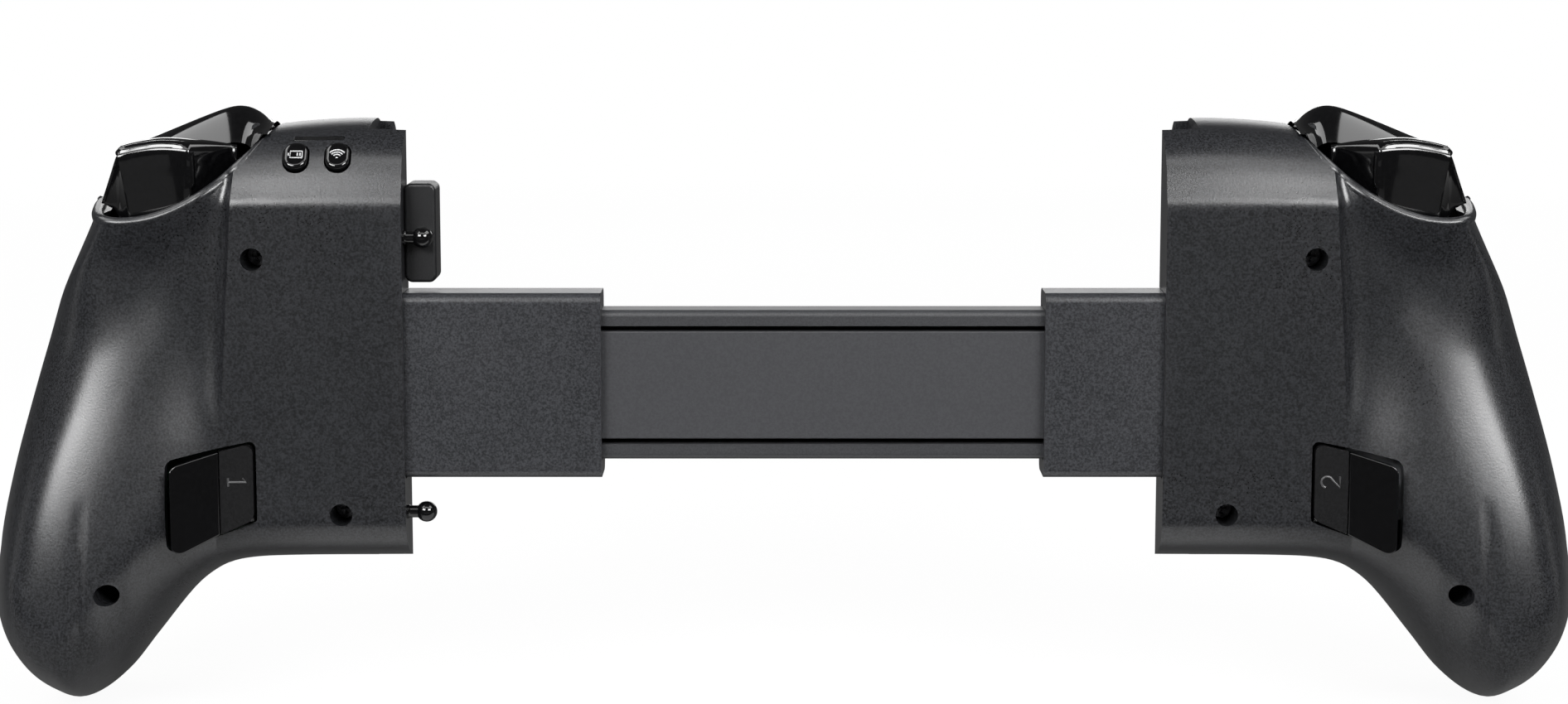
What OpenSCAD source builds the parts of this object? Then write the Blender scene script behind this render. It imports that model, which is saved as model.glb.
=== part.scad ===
// Telescopic game controller: two grips on a sprung bridge that clamp a handset between them.
// Frame: x to the left grip, y from the back of the controller to the player, z up, millimetres.
// The origin is the middle of the plane on which the handset rests.

/* [Handset bay] */
// Clear length between the two slot end pads at rest
bay_length = 153; // [146:1:160]
// Clear depth of the handset slots
bay_depth = 13; // [12:0.5:14]
// Reach of the rear jaws over the handset
jaw_reach = 6.8; // [6:0.2:8]
// Reach of the front lips over the handset
lip_reach = 2.6; // [2:0.2:3.4]

/* [Bridge] */
// Height of the sleeves
sleeve_height = 34.6; // [34:0.2:36]
// Sleeve wall at front and back
sleeve_wall = 1.4; // [1.2:0.1:1.6]
// Visible length of the sliding right sleeve
right_sleeve_length = 36.4; // [34:0.4:40]
// Visible length of the fixed left sleeve
left_sleeve_length = 22; // [20:0.5:24]
// Height of the rail
rail_height = 28; // [27:0.2:28.4]
// Depth of the rail
rail_depth = 8; // [7.6:0.1:8.2]
// Travel of the right grip towards the left one
slide_in = 31; // [28:1:32]
// Travel of the right grip away from the left one
slide_out = 26; // [22:1:27]

/* [Grips] */
// Depth of the pods behind the joint of the two shells
pod_rear = 21.3; // [21:0.1:22]
// Depth of the pods before the joint of the two shells
pod_front = 9; // [8.6:0.1:9.4]
// Height of the crease between back face and shoulder
crease_z = 34; // [33:0.5:35]
// Depth of the palm swell added behind the handles
palm_swell = 10.5; // [9:0.5:11]
// Depth of the finger valley beside the pods
valley_depth = 1.6; // [1:0.1:1.8]
// Shell wall
wall = 2.2; // [2:0.1:2.4]

/* [Controls] */
// Stroke of a trigger in degrees
trigger_stroke = 14; // [10:1:15]
// Radius of the trigger pins
trigger_pin_r = 1.2; // [1:0.05:1.3]
// Tilt of a thumb stick in degrees
stick_tilt = 18; // [14:1:18]
// Radius of a thumb stick cap
stick_cap_r = 9.5; // [8.5:0.1:9.8]
// Height of a thumb stick cap above the face plate
stick_rise = 7; // [7:0.2:8]
// Radius of the four face buttons
face_r = 4.6; // [4.2:0.1:4.7]
// Distance of each face button from their centre
face_pitch = 8.2; // [8:0.1:8.4]
// Reach of the arms of the direction pad
dpad_reach = 11; // [10:0.2:11.4]
// Stroke of the face buttons
face_stroke = 1.2; // [1:0.1:1.4]

/* [Fits] */
// Gap around moving caps
cap_gap = 0.3; // [0.25:0.05:0.4]
// Gap of the rail inside the sleeves
slide_gap = 0.2; // [0.15:0.05:0.25]
// Radial gap of pins and trunnions
pin_gap = 0.05; // [0.03:0.01:0.08]
// Gap between fixed pieces
seat_gap = 0.1; // [0.05:0.01:0.12]

/* [Hidden] */
$fn = 48;
parting_y = 8;
rear_face = parting_y - pod_rear;
front_face = parting_y + pod_front;
front_inside = front_face - wall;
rest_pad = 0.8;
end_pad = 0.6;
half_x = bay_length / 2 + end_pad;
jaw_front = -3;
slot_front = bay_depth;
end_wall = 2.4;
sleeve_front = -rest_pad;
sleeve_depth = rail_depth + 2 * slide_gap + 2 * sleeve_wall;
rail_front = sleeve_front - sleeve_wall - slide_gap;
rail_back = rail_front - rail_depth;
rail_wall = 2;
rail_lip = 2.9;
cover_gap = 1;
right_mouth = half_x - jaw_reach - right_sleeve_length;
left_mouth = half_x - jaw_reach - left_sleeve_length;
rail_room = 23.8;
rail_free = slide_in - rail_room - half_x;
rail_root = half_x + 14;
stop_x = rail_free + 4;
stop_z = -11;
stop_r = 1.2;
spring_z = 6.5;
hook_x = half_x - 32;
arm_tip = 17;
grip_end = 72.9;
crest = [[-6.8, 48.2], [3, 48.5], [14, 47.9], [24, 46.6], [34, 45], [43, 42.6], [49, 38.2],
    [53.3, 31], [60.8, 12.8], [67.1, -8.5], [70.9, -25.5], [grip_end, -37]];
belly = [[-6.8, -34.7], [18, -34.9], [26, -35.6], [31, -37.5], [36.4, -41.8], [44, -51.1], [49.5, -57.9],
    [55.2, -61.8], [60.6, -60.6], [66.2, -56.6], [70.6, -50], [72.4, -44], [grip_end, -40.5]];
edge = concat([for (i = [7:12]) [belly[i][1], belly[i][0]]],
    [for (i = [11:-1:5]) [crest[i][1], crest[i][0]]]);
ridge = [[-60, 57], [-28, 55.5], [-15, 52], [-3, 46], [7.6, 40], [14, 35.5], [20, 32.6], [28, 31],
    [50, 30.5]];
rim_s = 44.7;
rim_z = 31.6;
rim_bend = 0.022;
rim_flare = 1.6;
board_back = 0.8;
board_front = 2.4;
bumper_pivot = [21.5, 46.6];
bumper_pin_r = 1;
pivot_y = -4;
pivot_z = 40;
cheeks = [[30.2, 34.4], [41.2, 42.7]];
cheek_r = 1.8;
cheek = 1.5;
stick_pivot = 6;
stick_neck = 4.6;
stick_cap_y = front_face + stick_rise;
stick_lean = stick_tilt * sqrt(2);
well_r = stick_neck * cos(stick_lean) + (front_face - stick_pivot) * sin(stick_lean) + 2.1;
button_foot = front_inside - 4;
dome_top = button_foot - face_stroke - cap_gap;
small_r = 3.2;
dpad_pivot = 11;
stick_at = [16.9, -12];
left_stick_at = [35, 17];
face_at = [34.9, 18];
upper_key = [8, 34];
lower_key = [8, 20];
screws_at = [[20.8, 23.8], [5.2, -24], [47.5, -37.5]];
screw_seat = -4;
boss_r = 2.8;
rail_screws_s = 9.5;
rail_screws_z = [0.6, 8.2];
ribs_at = [39, 54.5];
rib = 1.2;
rib_front = -8.5;
rib_top = -32;
macro_pin_at = [22.3, -9.8];
macro_outline = [[21.3, -10.4], [35.5, -13.8], [35.5, -30.9], [21.3, -24.8]];
macro_corner = 2.2;
shoulder_z = 42.9;
key_size = [4.4, 5.6];
key_corner = 2;
battery_key_s = 12.7;
radio_key_s = 5;
light_s = (battery_key_s + radio_key_s) / 2;
battery_at = [28, -26];
battery_size = [22, 8, 28];
ball_posts_z = [27.6, -23.8];
ball_posts_y = -10.4;
ball_post_r = 1.3;
usb_from = 8.5;
usb_to = 17.5;
usb_depth = 3.4;

// Smooth step from 0 at a to 1 at b
function ramp(a, b, x) = let (t = part_way(x, a, b)) t * t * (3 - 2 * t);

// Bell of height 1 at c, with the width w
function bell(x, c, w) = exp(-pow((x - c) / w, 2));

function mix(a, b, t) = a + (b - a) * t;

// Share of the way from a to b
function part_way(x, a, b) = min(1, max(0, (x - a) / (b - a)));

// Quarter round that rises from 0 at the edge to 1 at the distance r
function round_in(d, r) = d >= r ? 1 : d <= 0 ? 0 : sqrt(1 - pow(1 - d / r, 2));

// Smooth curve through a few outline points, x rising
function slope_at(p, i) =
    let (a = max(0, i - 1), b = min(len(p) - 1, i + 1)) (p[b][1] - p[a][1]) / (p[b][0] - p[a][0]);
function piece_of(p, x, i = 0) = i >= len(p) - 2 || x <= p[i + 1][0] ? i : piece_of(p, x, i + 1);
function curve(p, x) =
    let (i = piece_of(p, x), h = p[i + 1][0] - p[i][0], t = (x - p[i][0]) / h)
    (2 * t * t * t - 3 * t * t + 1) * p[i][1] + (t * t * t - 2 * t * t + t) * h * slope_at(p, i)
    + (3 * t * t - 2 * t * t * t) * p[i + 1][1] + (t * t * t - t * t) * h * slope_at(p, i + 1);
function steep(p, x) = sqrt(1 + pow((curve(p, x + 0.2) - curve(p, x - 0.2)) / 0.4, 2));

// Outline of a grip over the distance s from the slot end wall
function top_z(s) = curve(crest, s);
function low_z(s) = curve(belly, s);
function rim_at(s) = rim_z + (s < rim_s ? rim_bend : 0.03) * pow(rim_s - s, 2);

// Rear surface: flat pod with a shoulder, then a crease and a finger valley, then the handle, which rises
// to a diagonal ridge over the palm and falls away in a quarter ellipse to its outer edge
function shoulder(z, top) =
    let (t = part_way(z, crease_z, top)) sqrt(1 - pow(t, 4)) - 0.25 * t * (1 - t * t);
function crease_s(z) = 26.7 - 0.065 * z;
function valley(s, z) =
    let (t = (s - crease_s(z)) / 4)
    t <= 0 ? 0 : valley_depth * t * exp(1 - t) * ramp(-12, 10, z);
function handle_share(s, z) =
    let (t = part_way(s, crease_s(z), curve(ridge, z)))
    mix(t * t * (3 - 2 * t), 1 - pow(1 - t, 2), ramp(10, -12, z));
function outer_fall(s, z) =
    let (u = part_way(s, curve(ridge, z), curve(edge, z)))
    mix(1, sqrt(1 - pow(u, mix(2, 8, ramp(6, 26, z)))), ramp(-50, -30, z));
function palm(s, z) =
    pod_rear + 0.2 + palm_swell * ramp(16, -36, z) + rim_flare * bell(z, min(rim_at(s), 40), 6);
function rear_depth(s, z) =
    let (top = top_z(s), w = handle_share(s, z), pod = pod_rear * shoulder(z, top),
        handle = palm(s, z) * outer_fall(s, z)
            * round_in((top - z) / steep(crest, s), mix(6.5, 2, ramp(30, 15, z))))
    mix(pod, handle, w) * (1 - valley(s, z) / pod_rear)
    * round_in((z - low_z(s)) / steep(belly, s), mix(9, 17, w));

// Front surface: flat face that falls away towards the tip of the handle
function front_depth(s, z) =
    let (r = mix(5, 11, ramp(30, 50, s)))
    (pod_front - 4 * ramp(-22, -60, z)) * round_in((top_z(s) - z) / steep(crest, s), r)
    * round_in((z - low_z(s)) / steep(belly, s), r);

// Rows of one section between two heights, close together at the edges, with one row on the crease
function crease_row(a, b) = min(crease_z, mix(a, b, 0.72));
function rows(a, b, n, m) =
    let (c = crease_row(a, b))
    concat([for (i = [0:n - 1]) mix(a, c, 1 - cos(90 * i / n))],
        [for (i = [0:m]) mix(c, b, sin(90 * i / m))]);

// Stations along a grip, close together at the crease and at the outer end
function stations(a, b, n, m) =
    concat([for (i = [0:n - 1]) mix(a, 27, i / n)], [for (i = [0:m]) mix(27, b, sin(90 * i / m))]);

// Solid through rings of equal count, each ring flat
module loft(rings) {
    m = len(rings[0]);
    n = len(rings);
    polyhedron(
        points = [for (r = rings, p = r) p],
        faces = concat(
            [for (i = [0:n - 2], j = [0:m - 1]) [i * m + j, i * m + (j + 1) % m, (i + 1) * m + j]],
            [for (i = [0:n - 2], j = [0:m - 1])
                [i * m + (j + 1) % m, (i + 1) * m + (j + 1) % m, (i + 1) * m + j]],
            [[for (j = [m - 1:-1:0]) j]],
            [[for (j = [0:m - 1]) (n - 1) * m + j]]),
        convexity = 8);
}

module rear_form() {
    loft([for (s = stations(-jaw_reach, grip_end, 8, 19))
        [for (z = rows(low_z(s), top_z(s), 11, 7)) [s, parting_y - rear_depth(s, z), z]]]);
}

module front_form() {
    loft([for (s = stations(-lip_reach, grip_end, 6, 15))
        let (z = rows(low_z(s), top_z(s), 9, 5))
        [for (i = [len(z) - 1:-1:0]) [s, parting_y + front_depth(s, z[i]), z[i]]]]);
}

// Hollow of a shell: the same surface one wall further in, open at the joint
function inner_rows(s, n, m) =
    rows(low_z(s) + wall * steep(belly, s), top_z(s) - wall * steep(crest, s), n, m);

function inner_depth(s, z) = max(1, min(rear_depth(s, z), rear_depth(s + wall, z)) - wall);

module rear_hollow() {
    loft([for (s = stations(end_wall, grip_end - 5.5, 5, 12))
        let (z = inner_rows(s, 6, 4))
        concat([[s, parting_y + 1, z[0]]],
            [for (h = z) [s, parting_y - inner_depth(s, h), h]],
            [[s, parting_y + 1, z[len(z) - 1]]])]);
}

module front_hollow() {
    loft([for (s = stations(end_wall, grip_end - 5.5, 4, 8))
        let (z = inner_rows(s, 4, 3))
        concat([[s, parting_y - 1, z[len(z) - 1]]],
            [for (i = [len(z) - 1:-1:0]) [s, parting_y + max(1, front_depth(s, z[i]) - wall), z[i]]],
            [[s, parting_y - 1, z[0]]])]);
}

// Cylinders along y and x between two places
module post_y(s, z, from, to, r) {
    translate([s, from, z]) rotate([-90, 0, 0]) cylinder(h = to - from, r = r);
}

module post_x(from, to, y, z, r) {
    translate([from, y, z]) rotate([0, 90, 0]) cylinder(h = to - from, r = r);
}

module block(a, b) {
    translate(a) cube(b - a);
}

// Outline in the x and z plane drawn out along y
module slab_y(from, to) {
    translate([0, to, 0]) rotate([90, 0, 0]) linear_extrude(to - from) children();
}

module on_left() {
    translate([half_x, 0, 0]) children();
}

module on_right() {
    mirror([1, 0, 0]) translate([half_x, 0, 0]) children();
}

// Rounded bar outline, width by height
module pill(w, h, r) {
    square([w, h - 2 * r], center = true);
    square([w - 2 * r, h], center = true);
    for (x = [-1, 1], y = [-1, 1]) translate([x * (w / 2 - r), y * (h / 2 - r)]) circle(r);
}

// Bay above the rim for trigger and bumper, and the well below the rim in which the nose swings
module trigger_well() {
    translate([0, 0, rim_z - 6]) linear_extrude(28)
        polygon(concat(
            [for (s = concat(25, nose_edges, 50)) [s, mix(nose_back(s), nose_front, 0.1) - cap_gap]],
            [[50, slot_front], [25, slot_front]]));
}

module trigger_bay() {
    slab_y(-40, slot_front)
        polygon(concat([for (i = [0:18]) let (s = mix(14.5, 56, i / 18)) [s, rim_at(s)]],
            [[75, 36], [75, 70], [14.5, 70]]));
}

// Outline with rounded corners, in the order of its points
function corner(p, i, r, n) =
    let (k = len(p), a = p[(i + k - 1) % k] - p[i], b = p[(i + 1) % k] - p[i],
        u = p[i] + r * a / norm(a), v = p[i] + r * b / norm(b))
    [for (j = [0:n]) let (t = j / n) u * pow(1 - t, 2) + 2 * p[i] * t * (1 - t) + v * t * t];
function rounded(p, r, n = 4) = [for (i = [0:len(p) - 1], q = corner(p, i, r, n)) q];

module macro_shape(side, outer) {
    p = macro_outline;
    polygon(rounded([p[0] + [-side, side], p[1] + [outer, side], p[2] + [outer, -side],
        p[3] + [-side, -side]], macro_corner));
}

// Frame on the shoulder slope, z along the outward normal
function shoulder_y(z) = parting_y - pod_rear * shoulder(z, top_z(10));
shoulder_tilt = atan((shoulder_y(shoulder_z + 0.5) - shoulder_y(shoulder_z - 0.5)) / 1);
module on_shoulder(s) {
    translate([s, shoulder_y(shoulder_z), shoulder_z]) rotate([90 - shoulder_tilt, 0, 0]) children();
}

module light_bar(grow) {
    translate([0, 4, 0]) linear_extrude(8, center = true) pill(9.4 + 2 * grow, 1 + 2 * grow, 0.45);
}

// Ends of the screw tubes of the rear shell, with the board between them and the bosses of the front shell
function tube_end(p) = p[1] < -30 ? board_front : board_back - seat_gap;

// Rear half of a grip: jaw, back face, shoulder, handle, screw tubes and pivot lugs of the macro button
module rear_shell(right) {
    difference() {
        union() {
            difference() {
                rear_form();
                difference() {
                    rear_hollow();
                    for (s = ribs_at) block([s, -40, -70], [s + rib, rib_front, rib_top]);
                }
                slab_y(-40, -9) macro_shape(0.5, 1.6);
            }
            for (p = screws_at)
                post_y(p[0], p[1], parting_y - rear_depth(p[0], p[1]) + 0.8, tube_end(p), 3.4);
            if (!right) for (z = rail_screws_z)
                post_y(rail_screws_s, z, rear_face + 0.8, rail_front - rail_wall - seat_gap, 2.2);
            for (z = [-15.8, -25.7]) block([17.5, -12, z], [24, -8.2, z + 1.2]);
        }
        block([-jaw_reach - 1, jaw_front, -80], [0, parting_y + 1, 80]);
        block([-jaw_reach - 1, sleeve_front - sleeve_depth - seat_gap, -sleeve_height / 2 - seat_gap],
            [end_wall + 2.4, sleeve_front + seat_gap, sleeve_height / 2 + seat_gap]);
        trigger_bay();
        trigger_well();
        for (p = screws_at) {
            post_y(p[0], p[1], -60, screw_seat, 2.1);
            post_y(p[0], p[1], -60, 5, 1.3);
        }
        post_z(macro_pin_at, -27, -14, 0.8 + pin_gap / 2);
        if (!right) for (z = rail_screws_z) post_y(rail_screws_s, z, screw_seat - 6, 0, 1.15);
        if (right) {
            for (s = [battery_key_s, radio_key_s])
                on_shoulder(s) linear_extrude(12, center = true)
                    pill(key_size[0] + 2 * cap_gap, key_size[1] + 2 * cap_gap, key_corner);
            on_shoulder(light_s) light_bar(seat_gap);
            for (z = ball_posts_z)
                post_x(-jaw_reach - 1, -jaw_reach + 3, ball_posts_y, z, ball_post_r + seat_gap / 2);
            block([usb_from - 2 * seat_gap, board_front - seat_gap, -40],
                [usb_to + 2 * seat_gap, board_front + usb_depth + 2 * seat_gap, -25]);
        }
    }
}

module post_z(at, from, to, r) {
    translate([at[0], at[1], from]) cylinder(h = to - from, r = r);
}

// Front half of a grip: face plate with the openings of the controls, lip, screw bosses, bumper pivot
module front_shell(right) {
    stick = right ? stick_at : left_stick_at;
    difference() {
        union() {
            difference() {
                front_form();
                front_hollow();
            }
            for (p = screws_at)
                post_y(p[0], p[1], board_front + seat_gap,
                    parting_y + front_depth(p[0], p[1]) - wall + 0.8, boss_r);
            post_y(stick[0], stick[1], front_inside, front_face + 0.7, well_r + 1.6);
        }
        block([-jaw_reach, 0, -80], [0, slot_front, 80]);
        trigger_bay();
        for (p = screws_at) post_y(p[0], p[1], 0, 10, 1.15);
        post_y(stick[0], stick[1], 5, 30, well_r);
        for (k = [upper_key, lower_key]) post_y(k[0], k[1], 5, 30, small_r + cap_gap);
        if (right)
            for (a = [0:90:270]) let (p = face_place(a)) post_y(p[0], p[1], 5, 30, face_r + cap_gap);
        else
            slab_y(5, 30) translate(stick_at) cross_shape(0.8);
    }
    post_y(bumper_pivot[0], bumper_pivot[1], 0.5, slot_front + 0.5, bumper_pin_r);
}

function face_place(a) = face_at + face_pitch * [cos(a), sin(a)];

module cross_shape(grow) {
    square([2 * (dpad_reach + grow), 7.4 + 2 * grow], center = true);
    square([7.4 + 2 * grow, 2 * (dpad_reach + grow)], center = true);
}

// Rail: channel open to the back, with posts that carry the cover
module rail_frame() {
    color("dimgray") difference() {
        union() {
            difference() {
                slab_x(rail_free, rail_root) translate([(rail_front + rail_back) / 2, 0])
                    pill(rail_depth, rail_height, 1.2);
                block([rail_free - 1, rail_back - 1, -rail_height / 2 + rail_lip],
                    [rail_root + 1, rail_front - rail_wall, rail_height / 2 - rail_lip]);
            }
            for (x = [-1, 0, 1] * (half_x - 29))
                post_y(x, 0, rail_back + 2.3, rail_front - rail_wall + 0.5, 2);
            post_y(hook_x, spring_z, rail_back + 2.6, rail_front - rail_wall + 0.5, 1);
            post_y(stop_x, stop_z, rail_front - 1, sleeve_front - 0.4, stop_r);
        }
        for (z = rail_screws_z) post_y(half_x + rail_screws_s, z, rail_back - 1, rail_front + 1, 1.3);
    }
}

module slab_x(from, to) {
    translate([from, 0, 0]) rotate([90, 0, 90]) linear_extrude(to - from) children();
}

module rail_cover() {
    h = rail_height - 2 * (rail_lip + cover_gap);
    color("gray") slab_y(rail_back + 0.2, rail_back + 2.2)
        translate([(rail_free + half_x) / 2 - 1, 0]) pill(half_x - rail_free - 3, h, 1.5);
}

module return_spring() {
    y = rail_front - rail_wall - 1.9;
    color("silver") difference() {
        post_x(arm_tip - half_x + 2.1, hook_x - 2.6, y, spring_z, 1.6);
        post_x(arm_tip - half_x + 2.6, hook_x - 3.1, y, spring_z, 1);
    }
}

module flex_cable() {
    y = rail_front - rail_wall - 0.8;
    color("orange") {
        block([-half_x - 36, y - 0.4, -9.5], [half_x + 24, y, -2.5]);
        block([-half_x - 36, y - 0.4, -9.5], [-half_x - 35.6, board_back - seat_gap, -2.5]);
        block([half_x + 23.6, y - 0.4, -9.5], [half_x + 24, board_back - seat_gap, -2.5]);
    }
}

// Sleeve: rounded tube with a flange inside the pod
module sleeve(length) {
    y = sleeve_front - sleeve_depth / 2;
    flange = sleeve_height / 2 + 2;
    difference() {
        union() {
            slab_x(-jaw_reach - length, end_wall + 2.2) translate([y, 0])
                pill(sleeve_depth, sleeve_height, 1.8);
            block([end_wall + seat_gap, sleeve_front - 8.6, -flange],
                [end_wall + 1.6, sleeve_front - 2, flange]);
        }
        block([-jaw_reach - length - 1, rail_back - slide_gap, -rail_height / 2 - slide_gap],
            [end_wall + 5, rail_front + slide_gap, rail_height / 2 + slide_gap]);
    }
}

// Slot of the sliding sleeve that meets the stop of the rail at the end of the travel
module stop_slot() {
    r = stop_r + cap_gap;
    block([-half_x - stop_x - slide_out - r, rail_front - 1, stop_z - r], [end_wall + 5, 0, stop_z + r]);
}

module rest_strip(length) {
    slab_y(sleeve_front, 0) translate([-jaw_reach - length / 2 + 0.6, 0])
        pill(length - 3, sleeve_height - 6, 2);
}

// Slot liner: soft strips on jaw and end wall, above and below the sleeve
module slot_pad() {
    difference() {
        union() {
            block([-jaw_reach + 0.6, jaw_front, -26], [-end_pad, 0, 44]);
            block([-end_pad, jaw_front, -26], [0, slot_front - 1, 44]);
        }
        block([-20, jaw_front - 1, -sleeve_height / 2 - 0.6],
            [1, sleeve_front + 0.4, sleeve_height / 2 + 0.6]);
    }
}

module board() {
    difference() {
        slab_y(board_back, board_front) polygon([[end_wall + 0.6, -28], [26, -28], [44, -34], [52, -20],
            [52, 14], [44, 28], [24, 32], [12, 40], [end_wall + 0.6, 40]]);
        for (p = screws_at) post_y(p[0], p[1], 0, 5, 1.5);
    }
}

module screws(right) {
    if (!right) for (z = rail_screws_z) {
        post_y(rail_screws_s, z, rail_front, rail_front + 1.5, 1.9);
        post_y(rail_screws_s, z, screw_seat - 5, rail_front + 0.5, 1.1);
    }
    for (p = screws_at) {
        post_y(p[0], p[1], screw_seat - 1.6, screw_seat, 1.9);
        post_y(p[0], p[1], screw_seat - 0.5, 9, 1.1);
    }
}

// Two-axis stick bearing: square frame, rocking ring on x trunnions, stem on z trunnions
module gimbal_frame(at, pivot) {
    translate([at[0], 0, at[1]]) {
        block([-6.8, board_front + 0.05, -6.8], [6.8, board_front + 0.8, 6.8]);
        difference() {
            block([-6.8, board_front + 0.5, -6.8], [6.8, pivot + 1.2, 6.8]);
            block([-5.7, board_front, -5.7], [5.7, pivot + 2, 5.7]);
            post_x(-8, 8, pivot, 0, 0.9 + pin_gap);
        }
    }
}

module gimbal_ring(at, pivot) {
    translate([at[0], 0, at[1]]) difference() {
        union() {
            post_y(0, 0, pivot - 1.1, pivot + 1.1, 4.6);
            post_x(-6.6, 6.6, pivot, 0, 0.9);
        }
        post_y(0, 0, pivot - 2, pivot + 2, 3.3);
        translate([0, pivot, -6]) cylinder(h = 12, r = 0.8 + pin_gap);
    }
}

module gimbal_stem(at, pivot, to) {
    translate([at[0], 0, at[1]]) {
        post_y(0, 0, pivot - 1.8, to, 2.1);
        translate([0, pivot, -4.5]) cylinder(h = 9, r = 0.8);
    }
}

module stick(at) {
    r = stick_cap_r;
    y = stick_cap_y;
    gimbal_stem(at, stick_pivot, y);
    translate([at[0], 0, at[1]]) {
        intersection() {
            difference() {
                translate([0, stick_pivot, 0]) sphere(12.4);
                translate([0, stick_pivot, 0]) sphere(11.3);
            }
            block([-20, stick_pivot + 2.9, -20], [20, 40, 20]);
        }
        rotate([-90, 0, 0]) rotate_extrude() polygon(concat([[0, front_face], [stick_neck, front_face],
            [stick_neck - 0.4, y - 2], [r - 2, y - 0.4], [r - 0.6, y], [r, y + 0.8], [r, y + 2],
            [r - 0.7, y + 2.8], [r - 1.6, y + 3]],
            [for (i = [4:-1:0]) let (q = (r - 2.6) * i / 4) [q, y + 1.6 + pow(q, 2) / 90]]));
    }
}

module dpad_cap() {
    gimbal_stem(stick_at, dpad_pivot, 14);
    difference() {
        slab_y(dpad_pivot + 2.5, front_face + 2.4) translate(stick_at) cross_shape(0);
        translate([stick_at[0], front_face + 22, stick_at[1]]) sphere(20.6);
    }
}

// Button with a retaining flange behind the face plate
module button(at, r, proud) {
    flange = front_inside - cap_gap;
    top = front_face + proud;
    translate([at[0], 0, at[1]]) rotate([-90, 0, 0]) rotate_extrude() polygon([[0, button_foot],
        [r - 0.6, button_foot], [r - 0.6, flange - 1.3], [r + 0.7, flange - 1.3], [r + 0.7, flange],
        [r, flange], [r, top - 0.8], [r - 0.25, top - 0.3], [r - 0.8, top], [0, top + 0.3]]);
}

module face_button(a) {
    button(face_place(a), face_r, 2);
}

module small_button(at) {
    button(at, small_r, 0.6);
}

// Rubber sheet with a dome under each button
module membrane(right) {
    base = board_front + 0.05;
    domes = [for (a = [0:90:270]) right ? face_place(a) : stick_at + 9 * [cos(a), sin(a)]];
    difference() {
        union() {
            if (right) {
                block([4, base, 14], [48, base + 1, 30]);
                block([4, base, 14], [12, base + 1, 38]);
                block([28, base, 4], [41, base + 1, 16]);
            } else {
                block([4, base, -18], [12, base + 1, 38]);
                block([6, base, -23.5], [28, base + 1, -0.5]);
            }
            for (d = domes) post_y(d[0], d[1], base, right ? dome_top : 11.4, right ? 3.6 : 1.8);
            for (k = [upper_key, lower_key]) post_y(k[0], k[1], base, dome_top, 2.2);
        }
        for (p = screws_at) post_y(p[0], p[1], 0, 9, boss_r + cap_gap);
        if (!right) block([stick_at[0] - 7, 0, stick_at[1] - 7], [stick_at[0] + 7, 20, stick_at[1] + 7]);
    }
}

// Trigger: tapered nose with a hollowed finger face, slotted from below for its bearing cheeks
nose_front = -1.4;
nose_rear = -12.2;
nose_edges = [32, 43.4, 45.8];
function nose_back(s) =
    nose_rear + 1.2 * max(0, nose_edges[0] - s) + 0.75 * max(0, min(s, nose_edges[2]) - nose_edges[1])
    + 1.19 * max(0, s - nose_edges[2]);
function nose_top(s) = 45.6 - (s > 37 ? 0.032 : 0.012) * pow(min(s, 45.3) - 37, 2);
// Outward lean of the nose along its height, which leaves a facet beside the finger face
function nose_lean(s) =
    s < nose_edges[1] ? 0.134 * max(0, s - 40) / 3.4
    : s < nose_edges[2] ? mix(0.134, -0.067, (s - nose_edges[1]) / 2.4)
    : mix(-0.067, -0.33, (s - nose_edges[2]) / 3.8);
function nose_low(s) = rim_at(s) + mix(-5, 1.2, ramp(42, 47.5, s));
function nose_ring(s) =
    let (b = nose_back(s), d = nose_front - b, t = nose_top(s), l = nose_low(s), h = t - l)
    [[nose_front, t - 3.2], [nose_front - 0.4, l + 0.55 * h], [b + 0.52 * d, l + 0.4 * h], [b + 0.4 * d, l],
        [b + 0.14 * d, l], [b + 0.1 * d, l + 0.3 * h], [b + 0.05 * d, l + 0.58 * h], [b, t - 2.6],
        [b + 0.035 * d, t - 1], [b + 0.17 * d, t], [b + 0.47 * d, t + 0.25], [nose_front - 0.8, t - 0.9]];

module trigger() {
    difference() {
        loft([for (s = [24.6, 28, nose_edges[0], 34, 37, 40, nose_edges[1], nose_edges[2], 47.5, 49.5, 50.8])
            [for (p = nose_ring(s)) [s + nose_lean(s) * (min(p[1], 42.7) - 31), p[0], p[1]]]]);
        for (c = cheeks) block([c[0] - cap_gap, -7.2, 20], [c[1] + cap_gap, 4, pivot_z + cheek_r + cap_gap]);
        post_x(29, 44, pivot_y, pivot_z, trigger_pin_r + pin_gap);
    }
}

module trigger_pin() {
    post_x(cheeks[0][0], cheeks[1][1] + 0.1, pivot_y, pivot_z, trigger_pin_r);
}

module trigger_spring() {
    difference() {
        post_x(32, 34.4, pivot_y, pivot_z, cheek_r);
        post_x(31, 35, pivot_y, pivot_z, trigger_pin_r + 0.1);
    }
}

// Bracket: base on the front shell, two cheeks for the pin and the stop that the pulled trigger meets
module trigger_bracket() {
    stop_y = pivot_y + 2.2 * cos(trigger_stroke) + 3.5 * sin(trigger_stroke) + cap_gap;
    base = slot_front - 2;
    difference() {
        union() {
            for (c = cheeks) {
                post_x(c[0], c[0] + cheek, pivot_y, pivot_z, cheek_r);
                block([c[0], pivot_y, pivot_z - cheek_r],
                    [c[0] + cheek, slot_front - seat_gap, pivot_z - 0.2]);
            }
            block([cheeks[0][0], base, 34], [cheeks[1][1], slot_front - seat_gap, pivot_z - 0.2]);
            block([35.5, stop_y, 35], [39.5, base + 0.5, 38]);
        }
        post_x(20, 44, pivot_y, pivot_z, trigger_pin_r + pin_gap / 2);
    }
}

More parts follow.
